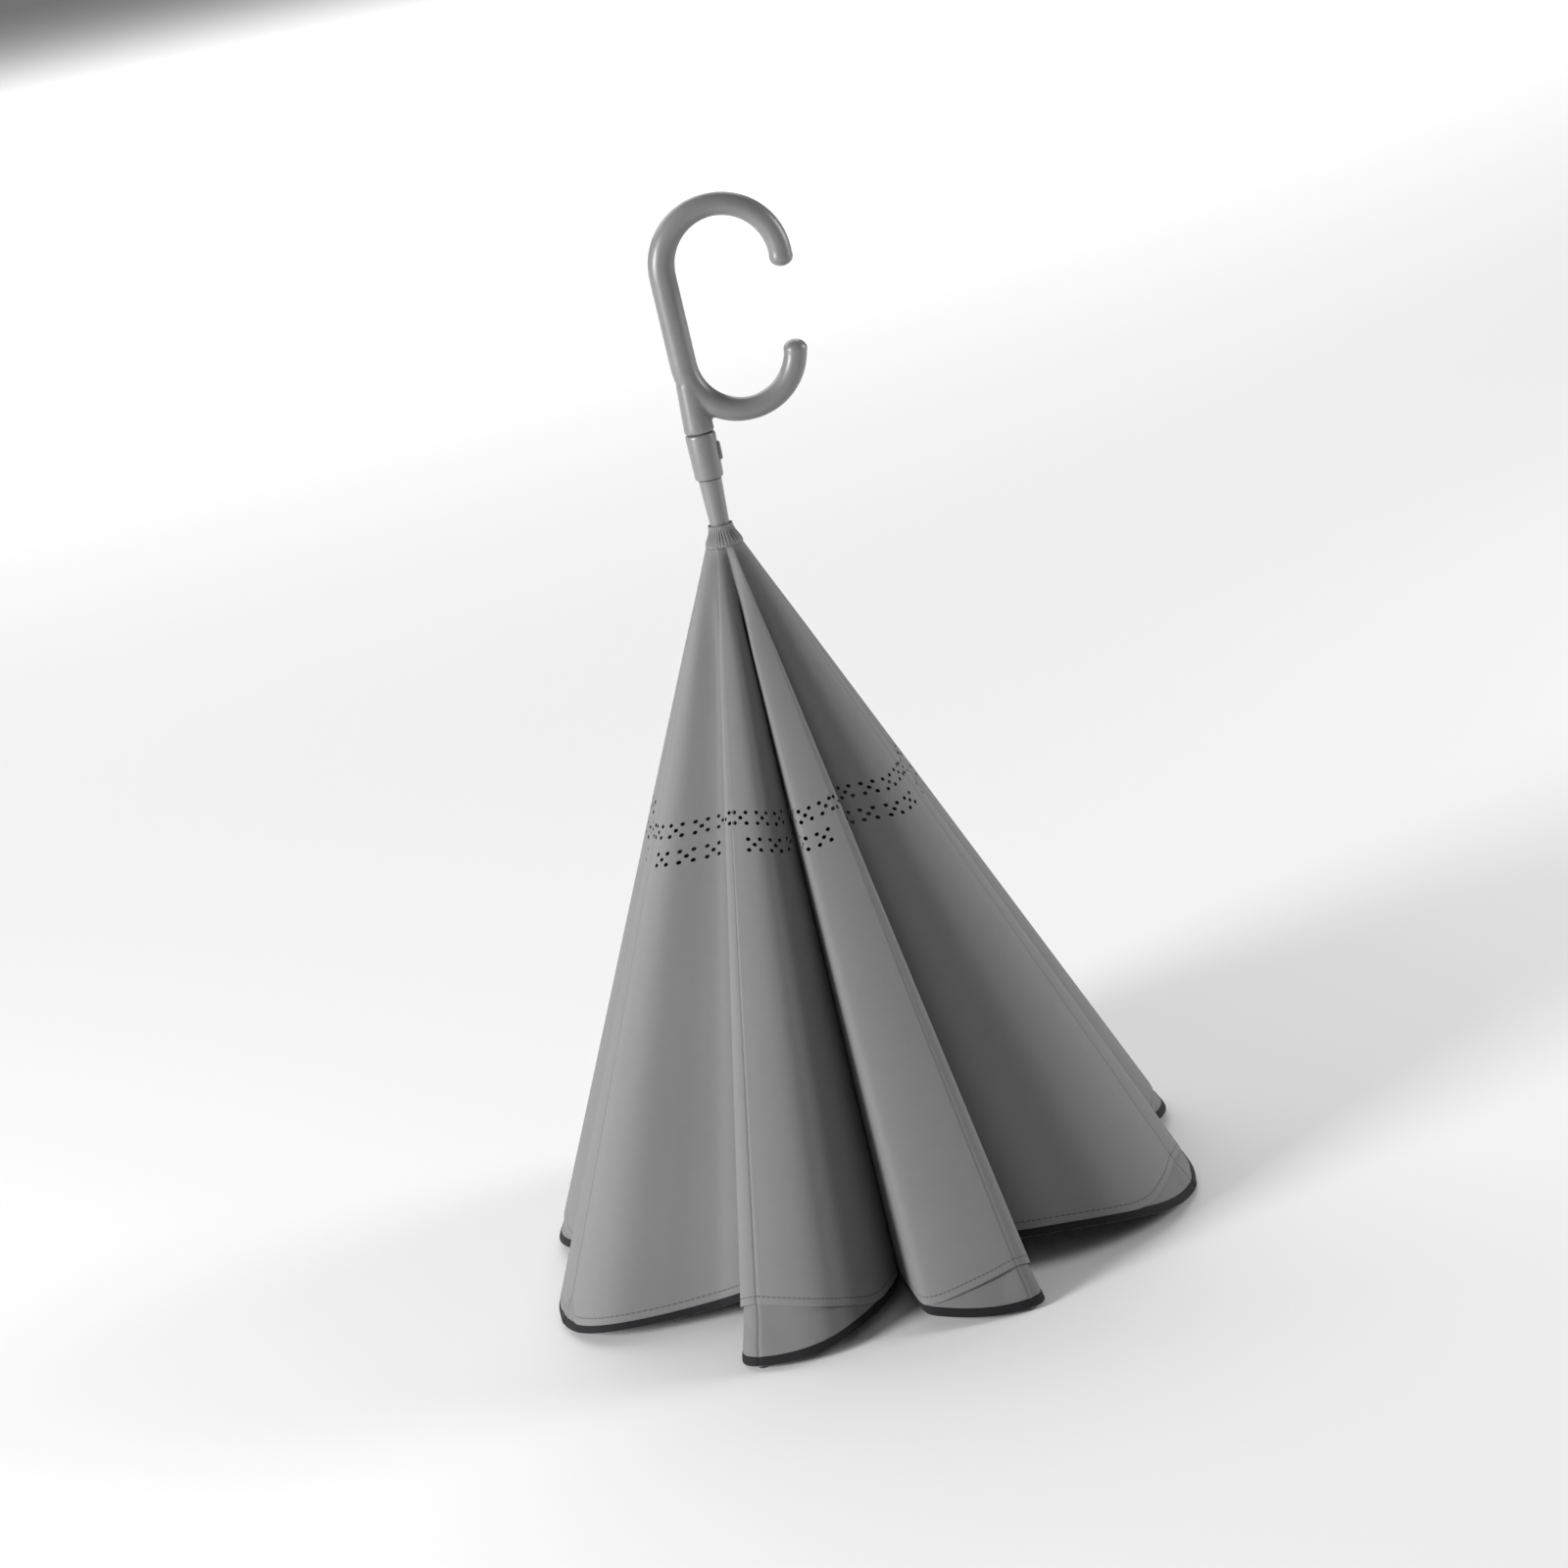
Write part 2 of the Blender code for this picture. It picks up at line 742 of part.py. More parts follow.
def stretcher_mesh():
    """One stretcher in its own frame: X from the rib pivot to the notch."""
    half = stretcher_width / 2
    body = box(
        "stretcher",
        (0, -half, -stretcher_height / 2),
        (stretcher_length, half, stretcher_height / 2),
    )
    near, far = (0, 0, 0), (stretcher_length, 0, 0)
    eye = stretcher_eye_radius
    boolean(body, rod("stretcher_eye", eye, -half, half, near, "Y", 16), "UNION")
    boolean(body, rod("stretcher_end", eye, -half, half, far, "Y", 16), "UNION")
    reach = half + cut_overrun
    hole = rod("stretcher_hole", pin_radius + running_gap, -reach, reach, near, "Y", 12)
    boolean(body, hole, "DIFFERENCE")
    return baked_mesh(body, "stretcher")


def cloth_sheet(name, columns, shape):
    """Sheet of cloth from a grid whose points a function places by two shares."""
    bpy.ops.mesh.primitive_grid_add(x_subdivisions=cloth_rows, y_subdivisions=columns, size=2)
    sheet = bpy.context.active_object
    sheet.name = name
    for vertex in sheet.data.vertices:
        vertex.co = shape((vertex.co.x + 1) / 2, (vertex.co.y + 1) / 2)
    normals = bmesh.new()
    normals.from_mesh(sheet.data)
    bmesh.ops.recalc_face_normals(normals, faces=normals.faces)
    normals.to_mesh(sheet.data)
    normals.free()
    solid = sheet.modifiers.new("Thickness", "SOLIDIFY")
    solid.thickness = cloth_thickness
    solid.offset = 0
    return baked_mesh(sheet, name)


def panel_mesh(half, side):
    """Outer part of a half gore: X along the ridge, Y to its side, Z outward."""

    def shape(along, across):
        def width_at(reach):
            return half.crease_width(reach) * across

        hem = hem_reach(width_at)
        reach = half.panel_top + (hem - half.panel_top) * along
        wide = half.panel_width(reach)
        width = panel_edge_gap + wide * across
        lift = panel_bulge_share * wide * sin(pi * across)
        return Vector((reach, side * width, lift))

    return cloth_sheet("canopy_panel", panel_columns, shape)


def pleat_mesh(half, side):
    """Inner part of a half gore: X along the crease, Y to the middle of the gore."""

    def shape(along, across):
        def width_at(reach):
            start = half.crease_width(reach) + crease_gap
            return start + half.pleat_width(reach) * across

        reach = half.pleat_top + (hem_reach(width_at) - half.pleat_top) * along
        x, y = half.pleat_point(reach, width_at(reach))
        return Vector((x, side * y, 0))

    return cloth_sheet("canopy_pleat", pleat_columns, shape)


def inner_canopy_mesh():
    """Fluted tube of cloth from the notch up along the stretchers."""
    count = rib_count * inner_points_a_gore * 2
    bpy.ops.mesh.primitive_cylinder_add(vertices=count, radius=1, depth=2, end_fill_type="NOTHING")
    tube = bpy.context.active_object
    tube.name = "inner_canopy"
    rows = bmesh.new()
    rows.from_mesh(tube.data)
    upright = [e for e in rows.edges if abs(e.verts[0].co.z - e.verts[1].co.z) > 1]
    bmesh.ops.subdivide_edges(rows, edges=upright, cuts=inner_rows - 1, use_grid_fill=True)
    for vertex in rows.verts:
        height_share = (vertex.co.z + 1) / 2
        azimuth = atan2(vertex.co.y, vertex.co.x)
        vertex.co = inner_point(height_share, azimuth)
    bmesh.ops.recalc_face_normals(rows, faces=rows.faces)
    rows.to_mesh(tube.data)
    rows.free()
    solid = tube.modifiers.new("Thickness", "SOLIDIFY")
    solid.thickness = cloth_thickness
    solid.offset = 0
    return baked_mesh(tube, "inner_canopy")


def inner_point(height_share, azimuth):
    """Point of the fluted tube: ridges under the stretchers, valleys between."""
    share = inner_start_share + (inner_end_share - inner_start_share) * height_share
    reach = stretcher_length * share
    ridge = hinge_circle_radius + reach * sin(stretcher_closed) - inner_lift * cos(stretcher_closed)
    height = notch_z + reach * cos(stretcher_closed) + inner_lift * sin(stretcher_closed)
    valley = inner_valley_low_radius + (inner_valley_high_radius - inner_valley_low_radius) * height_share
    turn = (azimuth - half_gore) / (2 * half_gore)
    wave = (1 + cos(2 * pi * turn)) / 2
    radius = valley + (ridge - valley) * wave**flute_sharpness
    return Vector((radius * cos(azimuth), radius * sin(azimuth), height))


def crease_frame(half, side, fold):
    """Place of a crease in its panel's frame, with the pleat folded in."""
    start = Matrix.Translation((0, side * half.crease_start, 0))
    slant = Matrix.Rotation(side * half.crease_slant, 4, "Z")
    return start @ slant @ Matrix.Rotation(-side * fold, 4, "X")


def ridge_frame(half, side):
    """Place of a ridge line in its rib's frame, with the panel sloping in."""
    lift = Matrix.Translation((0, 0, ridge_offset))
    return lift @ Matrix.Rotation(-side * half.slope, 4, "X")


def build_umbrella():
    runner_axis = add_empty("runner_axis", Matrix.Translation((0, 0, hinge_height)))
    build_handle(satin_grey)
    build_housing(satin_grey)
    build_button(satin_grey)
    build_shaft(shaft_black)
    build_notch(dark_plastic)
    build_ferrule(satin_grey)
    build_runner(satin_grey, runner_axis)
    build_collar(cloth_grey, runner_axis)
    add_part("inner_canopy", inner_canopy_mesh(), cloth_dark)

    rib_shape = rib_mesh()
    stretcher_shape = stretcher_mesh()
    halves = half_gores()
    sides = {"left": 1, "right": -1}
    identity = Matrix.Identity(4)
    for index in range(rib_count):
        number = index + 1
        spin = Matrix.Rotation(rib_azimuth(index), 4, "Z")
        reach = Matrix.Translation((hinge_circle_radius, 0, 0))
        rib_axis = add_empty(f"rib_axis_{number}", spin @ reach @ rib_turn(), runner_axis)
        add_part(f"rib_{number}", rib_shape, rib_grey, rib_axis, identity)

        pivot = Matrix.Translation((stretcher_pivot_reach, 0, -stretcher_pivot_offset))
        swing = Matrix.Rotation(closed + stretcher_closed, 4, "Y")
        stretcher_axis = add_empty(f"stretcher_axis_{number}", pivot @ swing, rib_axis)
        add_part(f"stretcher_{number}", stretcher_shape, metal_grey, stretcher_axis, identity)

        for word, side in sides.items():
            half = halves[index][word]
            ridge = add_empty(f"ridge_axis_{number}_{word}", ridge_frame(half, side), rib_axis)
            name = f"canopy_panel_{number}_{word}"
            add_part(name, panel_mesh(half, side), cloth_grey, ridge, identity)
            folded = crease_frame(half, side, half.fold)
            crease = add_empty(f"crease_axis_{number}_{word}", folded, ridge)
            name = f"canopy_pleat_{number}_{word}"
            add_part(name, pleat_mesh(half, side), cloth_grey, crease, identity)


clear_scene()
parts = make_collection("inverted_umbrella")
helpers = make_collection("cutters")
satin_grey = make_material("satin_grey", (0.27, 0.27, 0.28), 0.38, 0.0)
shaft_black = make_material("shaft_black", (0.04, 0.04, 0.045), 0.35, 0.6)
dark_plastic = make_material("dark_plastic", (0.05, 0.05, 0.055), 0.5, 0.0)
rib_grey = make_material("rib_grey", (0.10, 0.10, 0.11), 0.45, 0.0)
metal_grey = make_material("metal_grey", (0.12, 0.12, 0.13), 0.35, 0.8)
cloth_grey = make_material("cloth_grey", (0.27, 0.27, 0.28), 0.8, 0.0)
cloth_dark = make_material("cloth_dark", (0.16, 0.16, 0.17), 0.8, 0.0)
build_umbrella()
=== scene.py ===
# %% [markdown]
# An inverted umbrella, closed, with a C-shaped handle
#
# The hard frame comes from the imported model: a shaft, a runner, eight ribs and
# eight stretchers, each on its own body. This lesson dresses it: a moulded
# handle, a housing with its push button, and a canopy of two layers of cloth
# that folds in pleats between the ribs.

# %% Load the frame
import json
from math import acos, atan2, cos, degrees, hypot, pi, radians, sin, tan

import bmesh
import bpy
from mathutils import Matrix, Vector

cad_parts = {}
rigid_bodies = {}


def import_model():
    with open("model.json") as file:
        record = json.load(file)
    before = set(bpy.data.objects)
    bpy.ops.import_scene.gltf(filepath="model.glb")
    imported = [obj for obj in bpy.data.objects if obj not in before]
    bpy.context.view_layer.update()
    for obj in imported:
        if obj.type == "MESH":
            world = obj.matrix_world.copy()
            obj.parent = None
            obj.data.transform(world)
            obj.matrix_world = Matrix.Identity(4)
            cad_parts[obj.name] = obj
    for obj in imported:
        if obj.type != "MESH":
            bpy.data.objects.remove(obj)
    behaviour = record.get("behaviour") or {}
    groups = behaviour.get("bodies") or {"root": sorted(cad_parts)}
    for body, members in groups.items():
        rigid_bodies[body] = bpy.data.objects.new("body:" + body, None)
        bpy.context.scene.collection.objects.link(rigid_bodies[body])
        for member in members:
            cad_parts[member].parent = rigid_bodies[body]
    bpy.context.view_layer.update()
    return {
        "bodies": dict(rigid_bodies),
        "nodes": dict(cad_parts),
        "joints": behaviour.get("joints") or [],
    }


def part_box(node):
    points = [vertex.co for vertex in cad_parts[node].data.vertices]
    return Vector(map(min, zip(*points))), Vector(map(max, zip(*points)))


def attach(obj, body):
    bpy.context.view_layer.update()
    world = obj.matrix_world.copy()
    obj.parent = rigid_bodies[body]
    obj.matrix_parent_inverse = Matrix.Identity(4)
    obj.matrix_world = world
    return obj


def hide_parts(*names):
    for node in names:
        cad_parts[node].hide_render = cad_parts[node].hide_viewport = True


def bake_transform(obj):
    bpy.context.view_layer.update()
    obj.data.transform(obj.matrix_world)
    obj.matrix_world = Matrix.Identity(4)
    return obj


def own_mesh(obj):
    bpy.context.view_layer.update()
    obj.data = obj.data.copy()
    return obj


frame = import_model()
joints = {joint["name"]: joint for joint in frame["joints"]}
hinge_height = joints["runner_slide"]["pos_m"][2]
rib_count = sum(name.startswith("rib_") for name in frame["bodies"])
seam_gap = 0.0004

# %% [markdown]
# Camera
#
# The photograph was taken from a little above, with a long lens, and the
# umbrella leans to the left in it. A real one would fall over like that, so the
# camera is rolled instead and the umbrella stands upright on its rib tips. The
# roll, distance and lens were found by matching the rib tips and the handle.

# %% Place the camera
camera_distance = 2.5
camera_elevation = radians(16.7)
camera_azimuth = radians(0.3)
camera_roll = radians(-12.4)
camera_lens = 82.55
frame_pixels = 1600
look_below_hinge = 0.2
aim_right_pixels = 1
aim_down_pixels = 37


def added(name):
    """The object that the last operator added, under its own name."""
    bpy.context.active_object.name = name
    return bpy.context.active_object


def pick(*picked):
    """Select these objects and no others, the last one as the active object."""
    bpy.ops.object.select_all(action="DESELECT")
    for obj in picked:
        obj.select_set(True)
        bpy.context.view_layer.objects.active = obj


target = Vector((0, 0, hinge_height - look_below_hinge))
back = Vector((
    sin(camera_azimuth) * cos(camera_elevation),
    -cos(camera_azimuth) * cos(camera_elevation),
    sin(camera_elevation),
))
pick()
bpy.ops.object.camera_add(location=target + back * camera_distance)
camera = added("photo_camera")
camera.rotation_mode = "QUATERNION"
facing = back.to_track_quat("Z", "Y")
camera.rotation_quaternion = facing @ Matrix.Rotation(camera_roll, 3, "Z").to_quaternion()
camera.data.lens = camera_lens
camera.data.shift_x = -aim_right_pixels / frame_pixels
camera.data.shift_y = aim_down_pixels / frame_pixels
bpy.context.scene.camera = camera
print("camera at", tuple(round(c, 3) for c in camera.location))

# %% [markdown]
# Floor and light
#
# The photograph is a studio cut-out on white, lit softly from the left. A pale
# floor and a dim white world give the even part of the light. A soft key lamp
# at the left and a weaker one at the right give the folds their bright and dark
# sides, and a wide lamp far behind keeps the floor white up to the horizon.

# %% Lay the floor and hang the lamps
floor_size = 60.0
world_strength = 0.17


def fill(tree, node, values):
    """Set a node's inputs, found by name or by number, or link those given a socket."""
    for key, value in values.items():
        if isinstance(value, bpy.types.NodeSocket):
            tree.links.new(value, node.inputs[key])
        else:
            node.inputs[key].default_value = value


def new_material(name, values):
    """A material with these inputs of its shader set, its node tree and its shader."""
    material = bpy.data.materials.new(name)
    material.use_nodes = True
    shader = material.node_tree.nodes["Principled BSDF"]
    fill(material.node_tree, shader, values)
    return material, material.node_tree, shader


pick()
bpy.ops.mesh.primitive_plane_add(size=floor_size)
floor = added("studio_floor")
floor.data.materials.append(new_material("floor_paint", {
    "Base Color": (0.8, 0.8, 0.8, 1), "Roughness": 0.9, "Specular IOR Level": 0.0})[0])

world = bpy.data.worlds.new("studio_air")
world.use_nodes = True
fill(world.node_tree, world.node_tree.nodes["Background"],
     {"Color": (1, 1, 1, 1), "Strength": world_strength})
bpy.context.scene.world = world
bpy.context.scene.view_settings.view_transform = "Standard"


def hang_lamp(name, place, aim, size, power):
    """A square soft lamp, turned to face a point."""
    pick()
    bpy.ops.object.light_add(type="AREA", location=place)
    lamp = added(name)
    lamp.data.size = size
    lamp.data.energy = power
    lamp.rotation_euler = (Vector(place) - Vector(aim)).to_track_quat("Z", "Y").to_euler()


canopy_middle = (0, 0, hinge_height / 2)
hang_lamp("key_lamp", (-2.8, -1.5, 1.1), canopy_middle, 1.0, 134)
hang_lamp("side_lamp", (2.9, 0.1, 1.2), canopy_middle, 1.2, 53)
hang_lamp("far_lamp", (-3.0, 10.5, 6.0), (-3.0, 10.5, 0.0), 14.0, 1700)

# %% [markdown]
# Shared effects
#
# Two effects are used by more than one finish, so each is a node group: a fine
# moulded grain, and a plain weave. A group gives out only what changes over the
# surface, such as a height or a mask, and the shader stays in each material.

# %% Build the shared node groups
crossing_height = 0.35


def new_group(name, inputs, outputs):
    """A shader node group, the sockets that it is given, and the node that puts out.

    An input without a value is a vector, the others are numbers.
    """
    group = bpy.data.node_groups.new(name, "ShaderNodeTree")
    for label, value in inputs.items():
        kind = "NodeSocketVector" if value is None else "NodeSocketFloat"
        socket = group.interface.new_socket(label, in_out="INPUT", socket_type=kind)
        if value is not None:
            socket.default_value = value
    for label in outputs:
        group.interface.new_socket(label, in_out="OUTPUT", socket_type="NodeSocketFloat")
    return group, group.nodes.new("NodeGroupInput").outputs, group.nodes.new("NodeGroupOutput")


def add_node(tree, kind, inputs=None, **settings):
    """A node with its settings made and its inputs filled."""
    node = tree.nodes.new(kind)
    for key, value in settings.items():
        setattr(node, key, value)
    fill(tree, node, inputs or {})
    return node


def math_node(tree, operation, first, second=0.0, third=0.0):
    """The result socket of one sum."""
    values = {0: first, 1: second, 2: third}
    return add_node(tree, "ShaderNodeMath", values, operation=operation).outputs[0]


def spread(tree, value, low, high, to_low=0.0, to_high=1.0):
    """The result socket of a value that is moved from one range to another."""
    values = {"Value": value, "From Min": low, "From Max": high, "To Min": to_low, "To Max": to_high}
    return add_node(tree, "ShaderNodeMapRange", values).outputs[0]


def colour_mix(tree, share, dark, light):
    """The result socket of a mix of two colours; the first may be a socket too."""
    values = {"Factor": share, 6: dark, 7: (*light, 1)}
    return add_node(tree, "ShaderNodeMix", values, data_type="RGBA").outputs[2]


def noise(tree, place, scale, detail, roughness=0.5):
    """The value socket of a cloudy noise."""
    values = {"Vector": place, "Scale": scale, "Detail": detail, "Roughness": roughness}
    return add_node(tree, "ShaderNodeTexNoise", values).outputs["Fac"]


def bumped(tree, height, depth):
    """The normal socket of a bump."""
    return add_node(tree, "ShaderNodeBump", {"Distance": depth, "Height": height}).outputs["Normal"]


def build_grain():
    """Fine pebbled grain and slow blotches, for moulded plastic and paint."""
    group, given, ends = new_group(
        "fine_grain", {"Vector": None, "Grain Size": 0.0006, "Blotch Size": 0.02},
        ["Height", "Blotches", "Specks"])
    fine, broad = (math_node(group, "DIVIDE", 1.0, given[name]) for name in ("Grain Size", "Blotch Size"))
    pebbles = add_node(group, "ShaderNodeTexVoronoi", {"Vector": given["Vector"], "Scale": fine},
                       feature="SMOOTH_F1")
    fill(group, ends, {
        "Height": pebbles.outputs["Distance"],
        "Blotches": noise(group, given["Vector"], broad, 4.0, 0.6),
        "Specks": noise(group, given["Vector"], fine, 2.0, 0.7),
    })
    return group


def build_weave():
    """Plain weave on a UV map in metres: threads over and under in turn."""
    group, given, ends = new_group("plain_weave", {"UV": None, "Thread": 0.00035},
                                   ["Height", "Thread Tone", "Slubs"])
    split = add_node(group, "ShaderNodeSeparateXYZ", {"Vector": given["UV"]})
    waves = []
    for axis in ("X", "Y"):
        thread = math_node(group, "DIVIDE", split.outputs[axis], given["Thread"])
        waves.append(math_node(group, "SINE", math_node(group, "MULTIPLY", thread, pi)))
    crossing = math_node(group, "MULTIPLY", *waves)
    threads = math_node(group, "MAXIMUM", *(math_node(group, "ABSOLUTE", wave) for wave in waves))
    fill(group, ends, {
        "Height": math_node(group, "MULTIPLY_ADD", crossing, crossing_height, threads),
        "Thread Tone": threads,
        "Slubs": noise(group, given["UV"], 140.0, 3.0, 0.65),
    })
    return group


grain_group = build_grain()
weave_group = build_weave()
print("shared groups", grain_group.name, weave_group.name)

# %% [markdown]
# Moulded plastic and paint
#
# The handle, the button's housing and the runner are satin grey plastic. It has a
# soft sheen with broad highlights, so the roughness is about a third and differs
# from speck to speck. The tone drifts slowly over the surface, and a very fine
# grain breaks up the reflections. The paints are made in the same way.

# %% Make the plastics and paints
def grained_material(name, dark, light, rough_low, rough_high, grain=0.0006,
                     depth=0.00003, metallic=0.0):
    """Plastic or paint: two close tones in blotches, and a fine grain."""
    material, tree, shader = new_material(name, {"Roughness": rough_low, "Metallic": metallic})
    place = add_node(tree, "ShaderNodeTexCoord").outputs["Object"]
    effect = add_node(tree, "ShaderNodeGroup", {"Vector": place, "Grain Size": grain},
                      node_tree=grain_group).outputs
    tone = spread(tree, effect["Blotches"], 0.3, 0.7)
    fill(tree, shader, {
        "Base Color": colour_mix(tree, tone, (*dark, 1), light),
        "Roughness": spread(tree, effect["Specks"], 0.25, 0.75, rough_low, rough_high),
        "Normal": bumped(tree, effect["Height"], depth),
    })
    return material


satin_plastic = grained_material("satin_plastic", (0.176, 0.176, 0.179), (0.196, 0.196, 0.199),
                                 0.28, 0.40)
dark_plastic = grained_material("dark_plastic", (0.03, 0.03, 0.032), (0.045, 0.045, 0.048), 0.45, 0.6)
shaft_paint = grained_material("shaft_paint", (0.022, 0.022, 0.024), (0.03, 0.03, 0.033), 0.26, 0.36,
                               grain=0.0004, depth=0.00001)
rib_glass = grained_material("rib_glass", (0.05, 0.05, 0.055), (0.075, 0.075, 0.08), 0.38, 0.5,
                             grain=0.0005)
stretcher_paint = grained_material("stretcher_paint", (0.09, 0.09, 0.1), (0.13, 0.13, 0.14), 0.3, 0.42,
                                   grain=0.0004, depth=0.00001, metallic=0.7)
print("finishes", satin_plastic.name, dark_plastic.name, shaft_paint.name, rib_glass.name)

# %% [markdown]
# The C handle
#
# The real handle is one moulding: a tube bent into a C, with a socket below it
# for the shaft, and the lower arm growing out of the socket in a soft fillet. It
# could be a curve with a bevel, but the fillet where three forms meet would be
# missing. So a ring is spun round the two arcs, a turned socket is added, and a
# voxel remesh with some smoothing melts the two into one skin.

# %% Shape the handle
runner_top = 0.0468
housing_height = 0.0312
socket_radius = 0.0104
socket_height = 0.034
socket_top_radius = 0.0090
upper_arc = Vector((0.038, 0, hinge_height + 0.1865))
upper_radius = 0.040
lower_arc = Vector((0.037, 0, hinge_height + 0.126))
lower_radius = 0.038
back_thickness = 0.0092
arm_thickness = 0.0079
end_thickness = 0.0083
upper_end = radians(-5)
lower_end = radians(-8)
ring_points = 24
arc_steps = 28
back_steps = 8
socket_low = hinge_height + runner_top + 2 * seam_gap + housing_height


def start_edit(obj):
    """Open a piece for editing, with all of it selected."""
    bpy.context.view_layer.objects.active = obj
    bpy.ops.object.mode_set(mode="EDIT")
    bpy.ops.mesh.select_all(action="SELECT")


def end_edit():
    bpy.ops.object.mode_set(mode="OBJECT")


def close_and_face_out(threshold=None):
    """Merge what lies together, select all, and point the faces outwards."""
    bpy.ops.mesh.select_all(action="SELECT")
    if threshold:
        bpy.ops.mesh.remove_doubles(threshold=threshold)
    bpy.ops.mesh.normals_make_consistent(inside=False)
    end_edit()


def apply_modifiers(obj):
    """Apply every modifier of a piece, as pressing Apply does."""
    pick(obj)
    for modifier in list(obj.modifiers):
        bpy.ops.object.modifier_apply(modifier=modifier.name)


def settle(obj):
    """Put a piece's place into its mesh, so that its object sits at the origin."""
    pick(obj)
    bpy.ops.object.transform_apply(location=True, rotation=True, scale=True)


def hand_over(obj, material, node, body):
    """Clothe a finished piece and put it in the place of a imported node, on its body."""
    obj.data.materials.clear()
    obj.data.materials.append(material)
    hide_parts(node)
    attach(obj, body)


def turned(name, rings, vertices):
    """A turned solid: a filled circle, extruded and resized from ring to ring."""
    pick()
    radius, height = rings[0]
    bpy.ops.mesh.primitive_circle_add(vertices=vertices, radius=radius, fill_type="NGON",
                                      location=(0, 0, height))
    obj = added(name)
    start_edit(obj)
    for next_radius, next_height in rings[1:]:
        bpy.ops.mesh.extrude_region_move(
            TRANSFORM_OT_translate={"value": (0, 0, next_height - height)})
        share = next_radius / radius
        bpy.ops.transform.resize(value=(share, share, 1))
        radius, height = next_radius, next_height
    close_and_face_out()
    settle(obj)
    return obj


def handle_thickness(point):
    """Thickest down the back of the C, thinner along its arms."""
    back_x = upper_arc.x - upper_radius
    share = max(0.0, 1 - abs(point.x - back_x) / upper_radius)
    return arm_thickness + (back_thickness - arm_thickness) * share


def arc_point(centre, radius, angle):
    """Point of an arc of the C, at an angle from its open side."""
    return centre + Vector((cos(angle), 0, sin(angle))) * radius


def bend_tube():
    """A ring spun round the upper arc, drawn down the back and spun round the lower."""
    pick()
    bpy.ops.mesh.primitive_circle_add(
        vertices=ring_points, radius=arm_thickness, fill_type="NGON",
        location=arc_point(upper_arc, upper_radius, upper_end), rotation=(0, -upper_end, 0))
    tube = added("grip_moulding")
    settle(tube)
    start_edit(tube)
    bpy.ops.mesh.spin(steps=arc_steps, angle=pi - upper_end, center=upper_arc, axis=(0, 1, 0))
    back_top = upper_arc.x - upper_radius
    back_low = lower_arc.x - lower_radius
    drop = lower_arc.z - upper_arc.z
    for _ in range(back_steps):
        bpy.ops.mesh.extrude_region_move(TRANSFORM_OT_translate={
            "value": ((back_low - back_top) / back_steps, 0, drop / back_steps)})
    bpy.ops.mesh.spin(steps=arc_steps, angle=pi + lower_end, center=lower_arc, axis=(0, 1, 0))
    close_and_face_out(threshold=0.00005)
    return tube


def nearest_on_line(point):
    """Nearest point of the C's centreline."""
    if point.z > upper_arc.z:
        centre, radius = upper_arc, upper_radius
    elif point.z < lower_arc.z:
        centre, radius = lower_arc, lower_radius
    elif point.x > upper_arc.x:
        near_top = point.z - lower_arc.z > upper_arc.z - point.z
        centre, radius = (upper_arc, upper_radius) if near_top else (lower_arc, lower_radius)
    else:
        share = (point.z - lower_arc.z) / (upper_arc.z - lower_arc.z)
        x = (lower_arc.x - lower_radius) * (1 - share) + (upper_arc.x - upper_radius) * share
        return Vector((x, 0, point.z))
    out = Vector((point.x - centre.x, 0, point.z - centre.z)).normalized()
    return centre + out * radius


handle = bend_tube()
for vertex in handle.data.vertices:
    middle = nearest_on_line(vertex.co)
    vertex.co = middle + (vertex.co - middle) * (handle_thickness(middle) / arm_thickness)
print("handle tube", len(handle.data.vertices), "points")

# %% Round the handle's ends and melt the socket in
ball_flatness = 0.8
voxel_size = 0.0011
soften_rounds = 9


def tip_ball(place, way):
    """A slightly flattened ball that closes one end of the tube."""
    pick()
    bpy.ops.mesh.primitive_uv_sphere_add(segments=ring_points, ring_count=ring_points // 2,
                                         radius=end_thickness, location=place)
    ball = added("tip_ball")
    ball.rotation_euler = Vector(way).to_track_quat("Z", "Y").to_euler()
    ball.scale = (1, 1, ball_flatness)
    settle(ball)
    return ball


balls = [
    tip_ball(arc_point(upper_arc, upper_radius, upper_end), (sin(upper_end), 0, -cos(upper_end))),
    tip_ball(arc_point(lower_arc, lower_radius, lower_end), (-sin(lower_end), 0, cos(lower_end))),
]
socket_rings = [
    (socket_radius - 0.0006, socket_low), (socket_radius, socket_low + 0.0008),
    (socket_radius - 0.0004, socket_low + 0.010), (socket_top_radius, socket_low + socket_height),
    (socket_top_radius * 0.8, socket_low + socket_height + 0.006),
]
socket = turned("handle_socket", socket_rings, 48)
pick(socket, *balls, handle)
bpy.ops.object.join()
remesh = handle.modifiers.new("Melt", "REMESH")
remesh.mode = "VOXEL"
remesh.voxel_size = voxel_size
remesh.use_smooth_shade = True
smooth = handle.modifiers.new("Soften", "SMOOTH")
smooth.factor = 0.5
smooth.iterations = soften_rounds
apply_modifiers(handle)
bpy.ops.object.shade_smooth()
hand_over(handle, satin_plastic, "handle", "shaft")
low = min(v.co.z for v in handle.data.vertices)
print("handle", len(handle.data.polygons), "faces, lowest", round(low - socket_low, 5), "over the seam")

# %% [markdown]
# Cloth
#
# Both layers are woven polyester in the same mid grey, with a black binding at
# the edge. The weave is drawn on a UV map that is measured in metres on the
# flat cloth, so it keeps its scale along the folds.

